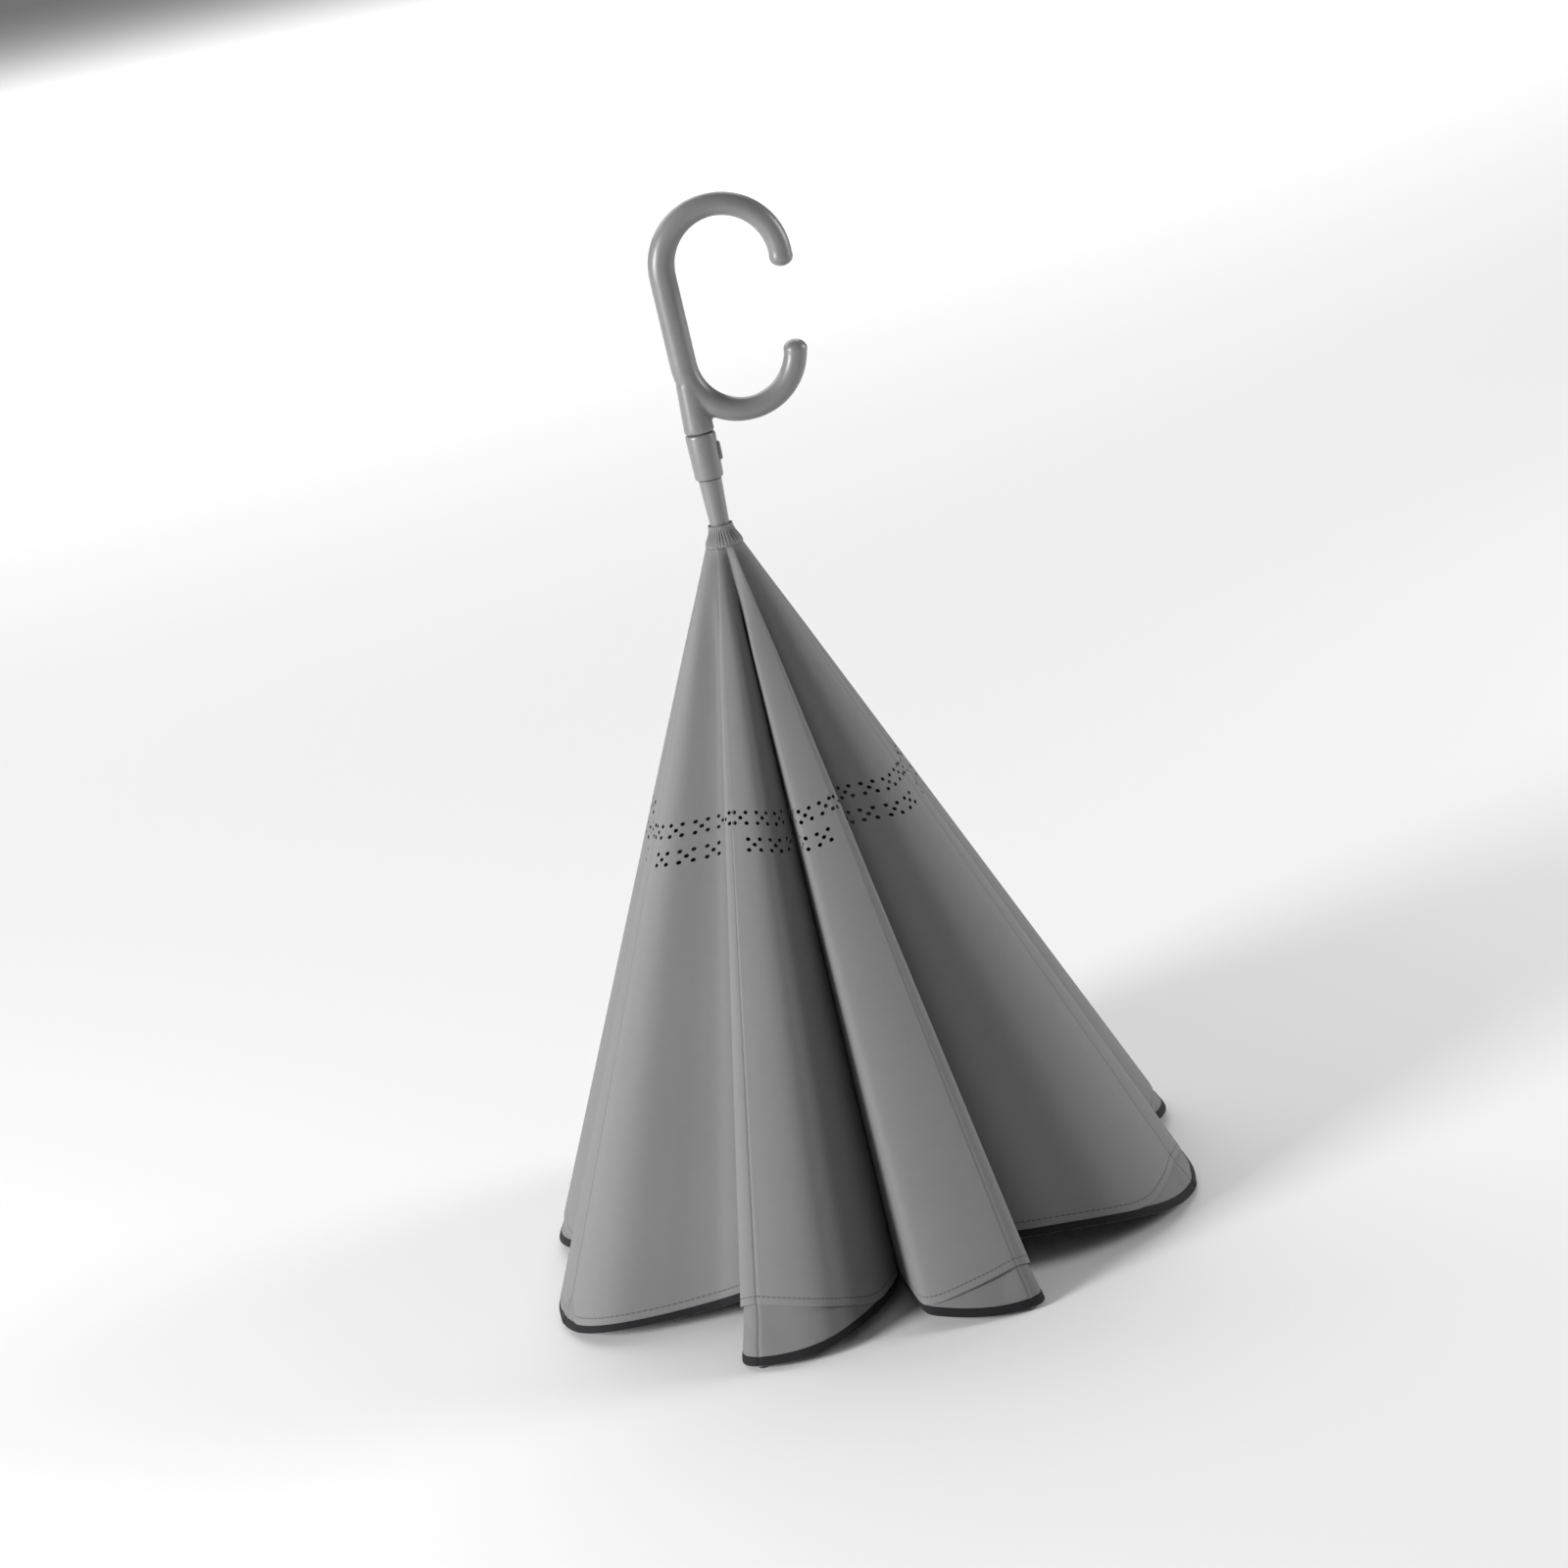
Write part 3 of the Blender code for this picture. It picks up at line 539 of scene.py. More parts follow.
# %% Make the cloths
thread_share, drift_share = 0.35, 0.45
weave_depth = 0.00006
stitch_from_hem, stitch_half_width = 0.0052, 0.00045
stitch_pitch, stitch_share = 0.0031, 0.72
stitch_sink = 3.0
stitch_tone = 0.7


def cloth_material(name, dark, light, stitched=False, rough=0.78):
    """Woven cloth: slow tone drift, thread height, and where asked a stitched line near the hem."""
    material, tree, shader = new_material(name, {
        "Roughness": rough, "Sheen Weight": 0.04, "Sheen Roughness": 0.5, "Specular IOR Level": 0.15})
    uv = add_node(tree, "ShaderNodeUVMap", uv_map="flat_metres").outputs["UV"]
    weave = add_node(tree, "ShaderNodeGroup", {"UV": uv}, node_tree=weave_group).outputs
    place = add_node(tree, "ShaderNodeTexCoord").outputs["Object"]
    tone = math_node(tree, "MULTIPLY", noise(tree, place, 9.0, 3.0), drift_share)
    for part in ("Slubs", "Thread Tone"):
        tone = math_node(tree, "MULTIPLY_ADD", weave[part], thread_share, tone)
    colour, height = colour_mix(tree, tone, (*dark, 1), light), weave["Height"]
    if stitched:
        rim = add_node(tree, "ShaderNodeAttribute", attribute_name="from_hem").outputs["Fac"]
        across = add_node(tree, "ShaderNodeSeparateXYZ", {"Vector": uv}).outputs["X"]
        line = math_node(tree, "COMPARE", rim, stitch_from_hem, stitch_half_width)
        steps = math_node(tree, "FRACT", math_node(tree, "DIVIDE", across, stitch_pitch))
        stitch = math_node(tree, "MULTIPLY", line, math_node(tree, "LESS_THAN", steps, stitch_share))
        colour = colour_mix(tree, stitch, colour, [part * stitch_tone for part in dark])
        height = math_node(tree, "SUBTRACT", height, math_node(tree, "MULTIPLY", line, stitch_sink))
    fill(tree, shader, {"Base Color": colour, "Normal": bumped(tree, height, weave_depth)})
    return material


lining_cloth = cloth_material("lining_cloth", (0.170, 0.170, 0.173), (0.212, 0.212, 0.215),
                              stitched=True)
wet_cloth = cloth_material("wet_cloth", (0.155, 0.155, 0.158), (0.193, 0.193, 0.196))
inner_cloth = cloth_material("inner_cloth", (0.125, 0.125, 0.128), (0.158, 0.158, 0.161))
binding_tape = cloth_material("binding_tape", (0.008, 0.008, 0.009), (0.016, 0.016, 0.018), rough=0.7)
print("cloths", lining_cloth.name, wet_cloth.name, inner_cloth.name, binding_tape.name)

# %% [markdown]
# How the cloth is cut and folded
#
# Each rib carries two half gores, one on each side. Laid flat a half gore is a
# long wedge with its point at the top of the canopy. Closed, it leaves the rib
# as an outer panel, turns in at a crease, and runs in as a pleat that meets the
# next rib's pleat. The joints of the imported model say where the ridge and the
# crease lie and how far the pleat folds, so the wedge is folded on those lines.

# %% Read the folds from the joints
half_turn = pi / rib_count
rib_swing = radians(joints["rib_1_hinge"]["range_deg"][1])
hinge_radius = Vector(joints["rib_1_hinge"]["pos_m"]).xy.length


def smooth_step(value, low=0.0, high=1.0):
    """0 below low and 1 above high, with a soft rise between them."""
    share = min(1.0, max(0.0, (value - low) / (high - low)))
    return share * share * (3 - 2 * share)


def soft_min(one, other, width):
    """The smaller of two values, rounded where they meet."""
    share = min(1.0, max(0.0, 0.5 + 0.5 * (other - one) / width))
    return other * (1 - share) + one * share - width * share * (1 - share)


def read_half(index, side):
    """Ridge, crease and fold of one half gore, from its two joints."""
    sign = 1 if side == "left" else -1
    ridge, crease = (joints[f"{kind}_{index}_{side}_fold"] for kind in ("panel", "pleat"))
    half = {"index": index, "side": side, "sign": sign}
    half["ridge"] = Vector(ridge["pos_m"])
    half["along"] = along = Vector(ridge["axis"]) * sign
    half["crease"] = Vector(crease["pos_m"])
    half["crease_along"] = crease_along = Vector(crease["axis"]) * sign
    half["across"] = (crease_along - along * crease_along.dot(along)).normalized()
    half["out"] = along.cross(half["across"]) * sign
    half["fold"] = radians(crease["range_deg"][1])
    half["turn_in"] = Matrix.Rotation(-sign * half["fold"], 3, crease_along)
    return half


halves = {(i, s): read_half(i, s) for i in range(1, rib_count + 1) for s in ("left", "right")}
sample = halves[1, "left"]
closed_angle = acos(-sample["along"].z)
open_angle = closed_angle + rib_swing
ridge_offset = (sample["ridge"] - Vector(joints["rib_1_hinge"]["pos_m"])).length
ridge_radius = sample["ridge"].xy.length
flat_apex = -(hinge_radius + ridge_offset * cos(open_angle)) / sin(open_angle)
open_slope = atan2(tan(half_turn) * cos(open_angle), 1)
flat_half_angle = atan2(tan(half_turn) * cos(open_slope) * sin(open_angle), 1)
top_gore_width = 2 * ridge_radius * sin(half_turn)
edge_gap = 0.0006
edge_from_reach = 0.3


def other_half(half):
    """The half gore that this one's pleat meets."""
    if half["side"] == "left":
        return halves[half["index"] % rib_count + 1, "right"]
    return halves[(half["index"] - 2) % rib_count + 1, "left"]


def measure_edge(half):
    """Flat angle from the ridge to the pleat's free edge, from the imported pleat."""
    node = frame["nodes"][f"canopy_pleat_{half['index']}_{half['side']}"]
    unfold = half["turn_in"].transposed()
    widest = 0.0
    for vertex in node.data.vertices:
        flat = half["crease"] + unfold @ (vertex.co - half["crease"]) - half["ridge"]
        reach = flat.dot(half["along"]) - flat_apex
        if reach > edge_from_reach:
            widest = max(widest, atan2(flat.dot(half["across"]) + edge_gap, reach))
    return widest


for half in halves.values():
    half["share"] = (half["crease"] - half["ridge"]).length / top_gore_width
    half["edge_angle"] = measure_edge(half)
for half in halves.values():
    uneven = half["share"] - other_half(half)["share"]
    half["turn"] = half_turn + atan2(uneven * tan(half_turn), 1)
for key in ((5, "left"), (6, "right"), (6, "left"), (7, "right"), (1, "left")):
    share, edge, fold = (halves[key][k] for k in ("share", "edge_angle", "fold"))
    print(key, "share", round(share, 3), "edge", round(degrees(edge), 2), "fold", round(degrees(fold), 1))

# %% [markdown]
# Shape of the folds
#
# The panels aren't flat: the cloth rounds out between a rib and its crease, and
# some creases are sharp while others roll over softly. The two folds at the
# front and the two wide panels beside them follow the photograph. Near the top
# the folds die out, because the cloth is gathered round the hub there.

# %% Fold the cloth
crease_softness = {"even": 0.010, "front": 0.034, "right_fold": 0.004, "wide_left": 0.034,
                   "wide_right": 0.030, "narrow": 0.0035}
soft_at_top, soft_full_reach = 0.03, 0.55
soft_limit = 0.8
valley_deepens = (0.05, 0.38)
pleat_bow = 0.03
sunk_up_to = 0.6
least_pleat = 1.12
hub_clear_radius = 0.0119
gather_in = 0.25
floor_clearance = 0.0024
gather_start, gather_end = 0.010, 0.075


def fold_kind(half):
    """Kind of a fold, from the share of the gore that its panel takes."""
    if half["share"] > 0.7:
        return f"wide_{half['side']}"
    if half["share"] > 0.5:
        return "front"
    if half["share"] < 0.2:
        return "narrow"
    return "right_fold" if (half["index"], half["side"]) == (7, "right") else "even"


def crease_width(half, reach):
    """Flat width of the panel, from the ridge to the crease."""
    return half["share"] * 2 * (ridge_radius + reach * sin(closed_angle)) * sin(half_turn)


def edge_width(half, reach):
    """Flat width of the half gore, always a little more than its panel."""
    least = crease_width(half, reach) * least_pleat
    return max(tan(half["edge_angle"]) * (reach - flat_apex), least)


# Each line is the lift across a panel, as (share of its width, lift over its width)
lift_lines = {
    "even": ((0.0, 0.0), (0.15, 0.055), (0.4, 0.10), (0.7, 0.085), (1.0, 0.0)),
    "front": ((0.0, 0.0), (0.14, 0.085), (0.33, 0.16), (0.48, 0.155), (0.62, 0.06), (0.80, -0.10),
              (1.0, -0.20)),
    "right_fold": ((0.0, 0.0), (0.2, 0.035), (0.5, 0.06), (0.8, 0.045), (1.0, 0.0)),
    "wide_left": ((0.0, 0.0), (0.12, 0.07), (0.25, 0.09), (0.36, 0.06), (0.50, -0.03), (0.65, -0.13),
                  (0.80, -0.20), (1.0, -0.22)),
    "wide_right": ((0.0, 0.0), (0.14, 0.07), (0.32, 0.115), (0.50, 0.095), (0.72, -0.025), (1.0, -0.195)),
    "narrow": ((0.0, 0.0), (0.25, 0.10), (0.60, 0.11), (1.0, 0.0)),
}


def smooth_line(points, share):
    """Height of a smooth line through the points, at a share along it."""
    last = len(points) - 1
    i = max(k for k in range(last) if points[k][0] <= share or k == 0)

    def slope(k):
        if k in (0, last):
            a, b = (0, 1) if k == 0 else (last - 1, last)
        else:
            a, b = k - 1, k + 1
        return (points[b][1] - points[a][1]) / (points[b][0] - points[a][0])

    (x0, y0), (x1, y1) = points[i], points[i + 1]
    span = x1 - x0
    t = (share - x0) / span
    return ((1 + 2 * t) * (1 - t) ** 2 * y0 + t * (1 - t) ** 2 * span * slope(i)
            + t * t * (3 - 2 * t) * y1 + t * t * (t - 1) * span * slope(i + 1))


def panel_lift(half, reach, share):
    """How far the panel stands out from flat, at a share of its width."""
    kind = fold_kind(half)
    lift = smooth_line(lift_lines[kind], share) * crease_width(half, reach)
    if kind == "front" and lift < 0:
        lift *= smooth_step(reach, *valley_deepens)
    return lift


def bent_point(half, reach, width):
    """Place of a point of the flat wedge once it is folded, before the crease is softened."""
    crease_at = crease_width(half, reach)
    flat = half["ridge"] + half["along"] * reach + half["across"] * width
    if width <= crease_at:
        return flat + half["out"] * panel_lift(half, reach, width / crease_at)
    run = edge_width(half, reach) - crease_at
    share = (width - crease_at) / run
    sunk = panel_lift(half, reach, 1.0) * (1 - smooth_step(share, 0.0, sunk_up_to))
    bowed = flat + half["out"] * (run * pleat_bow * sin(pi * share)) + half["across"] * (-sunk)
    return half["crease"] + half["turn_in"] @ (bowed - half["crease"])


def folded_point(half, reach, width):
    """Place of a point of the folded wedge, with its crease rolled over softly."""
    crease_at = crease_width(half, reach)
    soft = crease_softness[fold_kind(half)] * (reach + soft_at_top) / soft_full_reach
    soft = min(soft, crease_at * soft_limit, (edge_width(half, reach) - crease_at) * soft_limit)
    if abs(width - crease_at) >= soft:
        return bent_point(half, reach, width)
    share = (width - crease_at + soft) / (2 * soft)
    before = bent_point(half, reach, crease_at - soft)
    corner = bent_point(half, reach, crease_at)
    after = bent_point(half, reach, crease_at + soft)
    return before * (1 - share) ** 2 + corner * 2 * share * (1 - share) + after * share**2


def gathered_point(half, reach, width):
    """Place of a point on the plain cone round the hub, where the folds die out."""
    share = width / edge_width(half, reach)
    ridge = half["ridge"] + half["along"] * reach
    azimuth = atan2(ridge.y, ridge.x) + half["sign"] * half["turn"] * share
    radius = max(ridge.xy.length * (1 - gather_in * smooth_step(share)), hub_clear_radius)
    return Vector((radius * cos(azimuth), radius * sin(azimuth), ridge.z))


def cloth_point(half, reach, width):
    """Place of a point of the flat wedge on the closed umbrella."""
    folds = smooth_step(reach, gather_start, gather_end)
    gathered = gathered_point(half, reach, width)
    if folds == 0:
        return gathered
    return gathered.lerp(folded_point(half, reach, width), folds)


print("fold kinds", {key: fold_kind(half) for key, half in halves.items() if key[0] > 4})

# %% [markdown]
# The two hems
#
# Laid flat, the rain layer's hem is a shallow arch between the rib tips, with a
# small tab at each tip that covers the rib's end. The lining stops short of the
# tips, by another length on each rib, and meets the binding between them. No
# hem may hang below the floor, so a column that would is cut shorter.

# %% Draw the hems on the flat wedge
hem_at_tip = 0.5335
hem_rise, hem_curve = 0.089, 1.6
tab_length, tab_share = 0.0150, 0.62
lining_over_binding = 0.0055
lining_rise, lining_rounding = 0.026, 0.006
lining_short = {1: 0.029, 2: 0.029, 3: 0.029, 4: 0.029, 5: 0.0, 6: 0.041, 7: 0.029, 8: 0.025}
first_guess = 0.53
hem_rounds, floor_rounds = 12, 4


def hem_angle_share(reach, width):
    """0 on the rib and 1 in the middle of the gore."""
    angle = atan2(width, reach - flat_apex) / flat_half_angle
    return min(angle, 2 - angle)


def wet_hem(half, share):
    """Distance of the rain layer's hem from the flat wedge's point."""
    even_hem = (hem_at_tip - flat_apex) * (1 - hem_rise * max(0.0, share) ** hem_curve)
    return even_hem + tab_length * smooth_step(1 - share / tab_share)


def lining_hem(half, share):
    """The lining stops short of the rib tips and meets the binding between them."""
    down_to_binding = wet_hem(half, share) - lining_over_binding
    short = lining_short[half["index"]]
    if short == 0:
        return down_to_binding
    above_tip = wet_hem(half, 0) - short + lining_rise * share
    return soft_min(above_tip, down_to_binding, lining_rounding)


def hem_reach(half, hem, width_at):
    """Reach along the ridge at which a column of the cloth comes to its hem, clear of the floor."""
    reach = first_guess
    for _ in range(hem_rounds):
        width = width_at(reach)
        distance = hem(half, hem_angle_share(reach, width))
        reach = flat_apex + distance * cos(atan2(width, reach - flat_apex))
    for _ in range(floor_rounds):
        height = cloth_point(half, reach, width_at(reach)).z
        reach -= max(0.0, floor_clearance - height)
    return reach


print("flat half gore", round(degrees(flat_half_angle), 2), "degrees, apex at", round(flat_apex, 4))

# %% [markdown]
# One wedge of cloth
#
# Each wedge starts as a flat grid, the way the panel is cut: its columns run
# from the rib to the middle of the gore, with one column on the crease, and its
# rows run from the collar to the hem. The vents are cut while it is flat, as
# single cells that are inset, deleted and rounded by a subdivision. Only then is
# every point moved to its place in the folds, so the folds stay smooth.

# %% Make a wedge of cloth
vent_reach = 0.198
lining_cell = 0.0038
pleat_cell_share = 1.3
least_columns = (2, 5)
normal_step = 0.0015
shared_normal_width = 0.006
lap_width = 0.004


def column_counts(half, cell):
    """Columns on the panel and on the pleat, a cell apart at the vents."""
    panel = crease_width(half, vent_reach)
    pleat = edge_width(half, vent_reach) - panel
    return (max(least_columns[0], round(panel / cell)),
            max(least_columns[1], round(pleat / (cell * pleat_cell_share))))


def column_width(half, counts, column, reach):
    """Flat distance from the ridge of a column, whole or in between."""
    crease_at = crease_width(half, reach)
    if column <= counts[0]:
        return crease_at * column / counts[0]
    return crease_at + (edge_width(half, reach) - crease_at) * (column - counts[0]) / counts[1]


def row_shares(marks, start):
    """Rows as shares of the length: marks are (reach, rows up to it)."""
    rows = [start]
    for reach, count in marks:
        last = rows[-1]
        rows += [last + (reach - last) * i / count for i in range(1, count + 1)]
    return [(row - start) / (rows[-1] - start) for row in rows]


def between(values, place):
    """Value at a place between two whole steps of a list."""
    step = min(int(place), len(values) - 2)
    return values[step] + (values[step + 1] - values[step]) * (place - step)


def surface_normal(half, reach, width):
    """Outward direction of the cloth; at the rib both halves share one."""
    step = normal_step
    here = cloth_point(half, reach, width)
    down = cloth_point(half, reach + step, width) - here
    side = cloth_point(half, reach, width + step) - here
    if width + step > edge_width(half, reach):
        side = here - cloth_point(half, reach, width - step)
    normal = (down.cross(side) * half["sign"]).normalized()
    over_rib = Vector((*half["along"].xy.normalized() * cos(closed_angle), sin(closed_angle)))
    return over_rib.lerp(normal, smooth_step(width, 0.0, shared_normal_width)).normalized()


def add_grid(name, columns, rows):
    """A flat grid of cells of size 1, whose UV map will hold the flat cloth in metres."""
    pick()
    bpy.ops.mesh.primitive_grid_add(x_subdivisions=columns, y_subdivisions=rows, size=2)
    obj = added(name)
    for vertex in obj.data.vertices:
        vertex.co = ((vertex.co.x + 1) / 2 * columns, (vertex.co.y + 1) / 2 * rows, 0)
    obj.data.uv_layers[0].name = "flat_metres"
    return obj


def wedge(name, half, hem, marks, cell, lap, start=0.0, depth=None, band=None, cut=None):
    """A flat grid, cut, rounded and folded, with its flat size as its UV map.

    With a band the grid is only the strip of that width along the hem. The lap is
    how far the cloth reaches over the ridge, to meet the other half's.
    """
    counts = column_counts(half, cell)
    columns = sum(counts)
    shares = row_shares(marks, start)
    rows = len(shares) - 1
    obj = add_grid(name, columns, rows)
    if cut:
        cut(obj, counts)
    finer = obj.modifiers.new("Finer", "SUBSURF")
    finer.levels = 1
    finer.boundary_smooth = "PRESERVE_CORNERS"
    apply_modifiers(obj)
    ends = [hem_reach(half, hem, lambda reach, place=c / 2: column_width(half, counts, place, reach))
            for c in range(2 * columns + 1)]
    from_hem = obj.data.attributes.new("from_hem", "FLOAT", "POINT")
    flats = []
    for vertex in obj.data.vertices:
        column = min(columns, max(0.0, vertex.co.x))
        end = between(ends, column * 2)
        top = end - band if band else start
        reach = top + (end - top) * between(shares, min(rows, max(0.0, vertex.co.y)))
        width = column_width(half, counts, column, reach)
        width -= lap * (1 - smooth_step(width, 0.0, lap_width))
        flats.append((width, reach))
        place = cloth_point(half, reach, width)
        if depth:
            place -= surface_normal(half, reach, width) * depth(half, reach, width)
        vertex.co = place
        from_hem.data[vertex.index].value = end - reach
    uv = obj.data.uv_layers[0].data
    for loop in obj.data.loops:
        uv[loop.index].uv = flats[loop.vertex_index]
    if half["sign"] > 0:
        start_edit(obj)
        bpy.ops.mesh.flip_normals()
        end_edit()
    bpy.ops.object.shade_smooth()
    return obj


def flat_area(obj):
    """Area of the cloth as cut, from its UV map in metres."""
    uv = obj.data.uv_layers["flat_metres"].data
    total = 0.0
    for face in obj.data.polygons:
        spots = [uv[i].uv for i in face.loop_indices]
        total += abs(sum(a.x * b.y - b.x * a.y for a, b in zip(spots, spots[1:] + spots[:1]))) / 2
    return total


print("columns on the panel and the pleat of an even half", column_counts(sample, lining_cell))

# %% [markdown]
# Vents
#
# A third of the way down the lining has a band of small air holes, in clusters
# of five like the five on a die, in two rows that run round the canopy.

# %% Cut the vents and finish the lining
lining_marks = [(0.179, 10), (0.216, 10), (0.505, 17), (0.52, 3)]
lining_start = -0.0015
lining_thickness = 0.0004
vent_first_row = 10
vent_rows = (1, 6)
vent_pattern = ((0, 0), (2, 0), (1, 1), (0, 2), (2, 2))
cluster_pitch = 4
cluster_reach = 2
vent_inset = 0.06
vent_counts = []


def cut_vents(obj, counts):
    """Inset and delete the cells of each five-hole cluster."""
    columns = sum(counts)
    picked = set()
    for row_index, row in enumerate(vent_rows):
        for column in range(row_index * (cluster_pitch // 2), columns - cluster_reach, cluster_pitch):
            picked |= {(column + c, vent_first_row + row + r) for c, r in vent_pattern}
    start_edit(obj)
    bpy.ops.mesh.select_mode(type="FACE")
    bpy.ops.mesh.select_all(action="DESELECT")
    grid = bmesh.from_edit_mesh(obj.data)
    grid.faces.ensure_lookup_table()
    for face in grid.faces:
        face.select = (face.index % columns, face.index // columns) in picked
    bmesh.update_edit_mesh(obj.data)
    bpy.ops.mesh.inset(thickness=vent_inset, use_individual=True)
    bpy.ops.mesh.delete(type="FACE")
    end_edit()
    vent_counts.append(len(picked))


def thicken(obj, thickness, offset=0):
    """Give a sheet its thickness, half to each side unless told otherwise."""
    solid = obj.modifiers.new("Thickness", "SOLIDIFY")
    solid.thickness = thickness
    solid.offset = offset


def finish_cloth(obj, material, thickness):
    """Round, thicken and clothe a wedge, and put its place into its mesh."""
    round_off = obj.modifiers.new("Round", "SUBSURF")
    round_off.levels = round_off.render_levels = 1
    round_off.boundary_smooth = "PRESERVE_CORNERS"
    thicken(obj, thickness)
    obj.data.materials.append(material)
    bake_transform(obj)


def hang_wedges(kind, material, thickness, **cloth):
    """Cut, fold and finish one kind of cloth for every half gore."""
    pieces = {}
    for (index, side), half in halves.items():
        pieces[index, side] = wedge(f"{kind}_{index}_{side}", half, lap=thickness / 2, **cloth)
        finish_cloth(pieces[index, side], material, thickness)
    return pieces


lining = hang_wedges("lining", lining_cloth, lining_thickness, start=lining_start, hem=lining_hem,
                     marks=lining_marks, cell=lining_cell, cut=cut_vents)
for (index, side), piece in lining.items():
    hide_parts(f"canopy_panel_{index}_{side}", f"canopy_pleat_{index}_{side}")
print("lining", len(lining), "wedges,", sum(vent_counts), "vents")

# %% [markdown]
# The rain layer and its binding
#
# Under the lining hangs a second layer, the one the rain falls on. It runs right
# out to the rib tips, where it covers the rib's end like a pocket, and its hem is
# bound in black tape. It is the same wedge, started lower down and set a little
# deeper than the lining. The tape is the last strip of it, thickened and rounded.

# %% Hang the rain layer and bind its hem
wet_start = 0.245
wet_marks = [(0.40, 6), (0.50, 7), (0.53, 4)]
wet_cell = 0.0042
wet_thickness = 0.0004
binding_width = 0.0065
binding_thickness = 0.0016
binding_marks = [(1.0, 2)]
depth_at_rib, depth_more = 0.0007, 0.0013
depth_from, depth_full = 0.001, 0.010
hem_near_from, hem_near_full = 0.03, 0.008
tip_from, tip_full = 0.522, 0.534
tip_flat_width, tip_side_width = 0.003, 0.016
tip_rise = 0.0017


def wet_depth(half, reach, width):
    """Deeper than the lining between the ribs, and over the rib's tip at its end."""
    hem_at = wet_hem(half, hem_angle_share(reach, width))
    from_point = hypot(width, reach - flat_apex)
    under = depth_at_rib + depth_more * smooth_step(width, depth_from, depth_full)
    near_hem = smooth_step(from_point, hem_at - hem_near_from, hem_at - hem_near_full)
    over_tip = smooth_step(reach, tip_from, tip_full)
    over_tip *= 1 - smooth_step(width, tip_flat_width, tip_side_width)
    return under + (depth_at_rib - under) * near_hem - tip_rise * over_tip


wet_shape = {"hem": wet_hem, "cell": wet_cell, "depth": wet_depth}
wet_layer = hang_wedges("rain_layer", wet_cloth, wet_thickness, marks=wet_marks,
                        start=wet_start, **wet_shape)
bindings = hang_wedges("binding", binding_tape, binding_thickness, marks=binding_marks,
                       band=binding_width, **wet_shape)
for key, binding in bindings.items():
    # The tape is made thick first and rounded after, so that its edges are round.
    binding.modifiers.move(1, 0)
print("rain layer", len(wet_layer), "wedges, an even one is",
      round(flat_area(wet_layer[1, "left"]), 4), "square metres")

# %% [markdown]
# The gathered inner cloth
#
# Inside, the rain layer narrows to the notch at the bottom of the shaft, drawn
# in flutes between the stretchers. It is a tube of cloth, fluted eight times
# round. When the umbrella opens the stretchers swing flat and pull the real
# cloth down with them; this piece keeps its closed shape.

# %% Gather the inner cloth
inner_columns, inner_rows = 128, 30
inner_flat = (0.31, 0.125)
inner_thickness = 0.0006
inner_lift = 0.0042
inner_shares = (0.06, 0.50)
inner_valley = (0.0082, 0.024)
inner_crumple, crumple_waves = 0.0006, (9, 3)
notch_low, notch_high = (Vector(corner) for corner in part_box("top_notch"))
notch_z = (notch_low.z + notch_high.z) / 2
pivot = Vector(joints["stretcher_1_hinge"]["pos_m"])
stretcher_run = Vector((pivot.xy.length - hinge_radius, pivot.z - notch_z))
stretcher_way = stretcher_run.normalized()


def inner_place(azimuth, height_share):
    """Ridges of the flutes lie under the stretchers, their valleys nearer the shaft."""
    share = inner_shares[0] + (inner_shares[1] - inner_shares[0]) * height_share
    reach = stretcher_run.length * share
    ridge = hinge_radius + reach * stretcher_way.x - inner_lift * stretcher_way.y
    height = notch_z + reach * stretcher_way.y + inner_lift * stretcher_way.x
    valley = inner_valley[0] + (inner_valley[1] - inner_valley[0]) * height_share
    wave = (1 + cos(rib_count * (azimuth - half_turn))) / 2
    wrinkle = sin(crumple_waves[0] * height_share + crumple_waves[1] * azimuth)
    crumple = inner_crumple * height_share * wrinkle
    radius = valley + (ridge - valley) * wave**2 + crumple * (1 - wave)
    return Vector((radius * cos(azimuth), radius * sin(azimuth), height))


def band_round(name, columns, rows, place, flat):
    """A strip of grid bent round the shaft, joined where its ends meet."""
    band = add_grid(name, columns, rows)
    for loop, spot in zip(band.data.loops, band.data.uv_layers[0].data):
        corner = band.data.vertices[loop.vertex_index].co
        spot.uv = (corner.x / columns * flat[0], corner.y / rows * flat[1])
    for vertex in band.data.vertices:
        vertex.co = place(vertex.co.x / columns * 2 * pi, vertex.co.y / rows)
    start_edit(band)
    close_and_face_out(threshold=0.00002)
    bpy.ops.object.shade_smooth()
    return band


inner = band_round("inner_cloth_tube", inner_columns, inner_rows, inner_place, inner_flat)
thicken(inner, inner_thickness)
hand_over(inner, inner_cloth, "inner_canopy", "shaft")
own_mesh(inner)

# %% [markdown]
# The collar of cloth at the neck
#
# The canopy is drawn together round the hub and finished with a short collar of
# the same cloth, gathered into small tucks under a bound edge. It is a band of
# grid bent round the runner, wider at the bottom, with its tucks as real waves.

# %% Gather the neck collar
collar_top, collar_bottom = 0.0150, 0.0010
collar_columns, collar_rows = 256, 18
collar_flat = (0.082, 0.0145)
collar_thickness = 0.0006
collar_tucks = 34
tuck_depth, tuck_least, tuck_fade = 0.00030, 0.00006, 1.1
uneven_share, uneven_waves = 0.4, 7
drift_angle, drift_waves = 1.3, 3
collar_wobble, wobble_waves = 0.0002, 5
collar_line = ((0.0, ridge_radius + 0.0004), (0.16, ridge_radius - 0.0002), (0.36, 0.0110),
               (0.58, 0.0094), (0.80, 0.0086), (1.0, 0.0084))


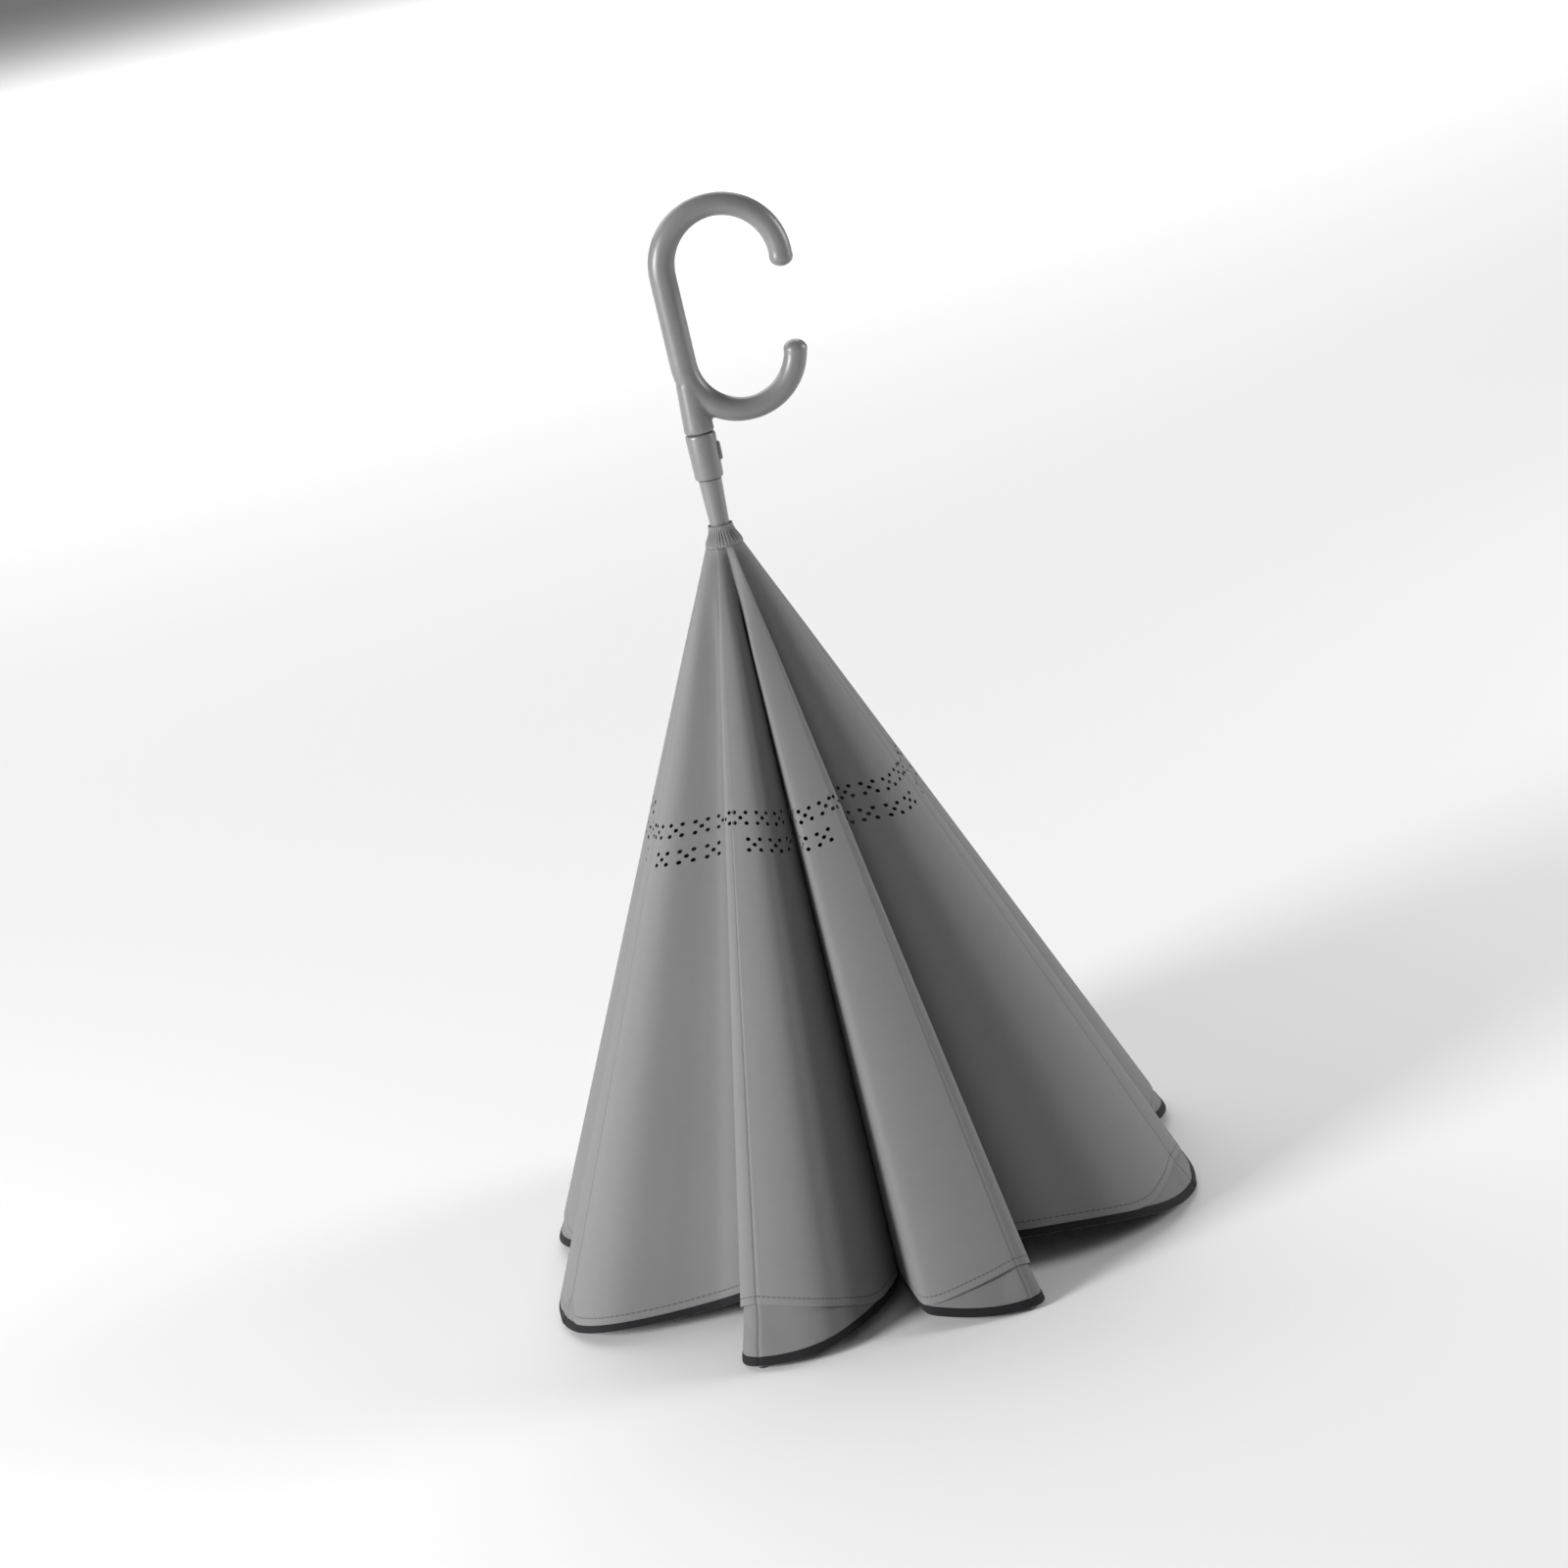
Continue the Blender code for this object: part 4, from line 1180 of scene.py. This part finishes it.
def collar_place(azimuth, share):
    """A bell from the top of the cloth up to the runner, with tucks that fade at its rims."""
    radius = smooth_line(collar_line, share)
    uneven = 1 + uneven_share * sin(uneven_waves * azimuth + 1)
    depth = tuck_depth * sin(pi * min(1.0, share * tuck_fade)) * uneven + tuck_least
    radius += depth * sin(collar_tucks * azimuth + drift_angle * sin(drift_waves * azimuth))
    radius += collar_wobble * sin(wobble_waves * azimuth + 2)
    height = collar_bottom + (collar_top - collar_bottom) * share
    return Vector((radius * cos(azimuth), radius * sin(azimuth), hinge_height + height))


collar = band_round("neck_collar", collar_columns, collar_rows, collar_place, collar_flat)
thicken(collar, collar_thickness, offset=-1)
hand_over(collar, lining_cloth, "fabric_collar", "runner")
print("collar", len(collar.data.polygons), "faces")

# %% [markdown]
# The button's housing and the button
#
# Between the handle and the neck sits a short moulded housing that carries the
# release button. It tapers a little towards the neck and has soft rims. Its
# pocket is cut with a boolean, as a milled slot would be, and the button is a
# rounded pad with a crowned face.

# %% Turn the button housing and its button
housing_low = hinge_height + runner_top + seam_gap
housing_rings = [
    (0.0088, 0.0), (0.0094, 0.0004), (0.0097, 0.0010), (0.0098, 0.0018), (0.0101, 0.0150),
    (0.0104, 0.0290), (0.0103, 0.0300), (0.0100, 0.0308), (0.0094, housing_height),
]
housing = turned("button_housing_body", [(r, housing_low + z) for r, z in housing_rings], 72)
button_low, button_high = (Vector(corner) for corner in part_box("release_button"))
button_middle = (button_low + button_high) / 2
button_size = button_high - button_low
button_travel = joints["button_press"]["range_m"][1]
pocket_gap = 0.00035
button_round = 0.0016
button_crown = 0.0004
sharp_angle = radians(35)


def block(name, size):
    """A box of this size round the button's middle."""
    pick()
    bpy.ops.mesh.primitive_cube_add(size=1, location=button_middle)
    obj = added(name)
    obj.scale = size
    settle(obj)
    return obj


room = Vector((button_travel + pocket_gap, pocket_gap, pocket_gap))
cutter = block("pocket_cutter", button_size + 2 * room)
pocket = housing.modifiers.new("Pocket", "BOOLEAN")
pocket.operation = "DIFFERENCE"
pocket.solver = "EXACT"
pocket.object = cutter
apply_modifiers(housing)
bpy.data.objects.remove(cutter, do_unlink=True)
pick(housing)
bpy.ops.object.shade_smooth_by_angle(angle=sharp_angle)
hand_over(housing, satin_plastic, "button_housing", "shaft")

button = block("push_button", button_size)
rounding = button.modifiers.new("Round", "BEVEL")
rounding.width = button_round
rounding.segments = 5
apply_modifiers(button)
for vertex in button.data.vertices:
    if vertex.co.x > button_middle.x:
        off = vertex.co - button_middle
        off = Vector((off.y / button_size.y, off.z / button_size.z)) * 2
        vertex.co.x -= button_crown * min(1.0, off.length_squared)
bpy.ops.object.shade_smooth_by_angle(angle=sharp_angle)
hand_over(button, satin_plastic, "release_button", "button")
print("housing", len(housing.data.polygons), "faces, button", len(button.data.polygons))

# %% [markdown]
# The frame's own pieces
#
# The shaft, runner, ribs, stretchers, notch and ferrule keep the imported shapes,
# which are rigid and right, and get real finishes: painted steel, satin plastic
# and glass fibre.

# %% Finish the frame's own pieces
finishes = {
    "shaft_tube": shaft_paint, "runner_sleeve": satin_plastic, "top_notch": dark_plastic,
    "ferrule": satin_plastic, "rib": rib_glass, "stretcher": stretcher_paint,
}
finished = []
for name, node in frame["nodes"].items():
    finish = finishes.get(name) or finishes.get(name.split("_")[0])
    if finish:
        node.data.materials.clear()
        node.data.materials.append(finish)
        finished.append(name)
print("finished", len(finished), "packed pieces")
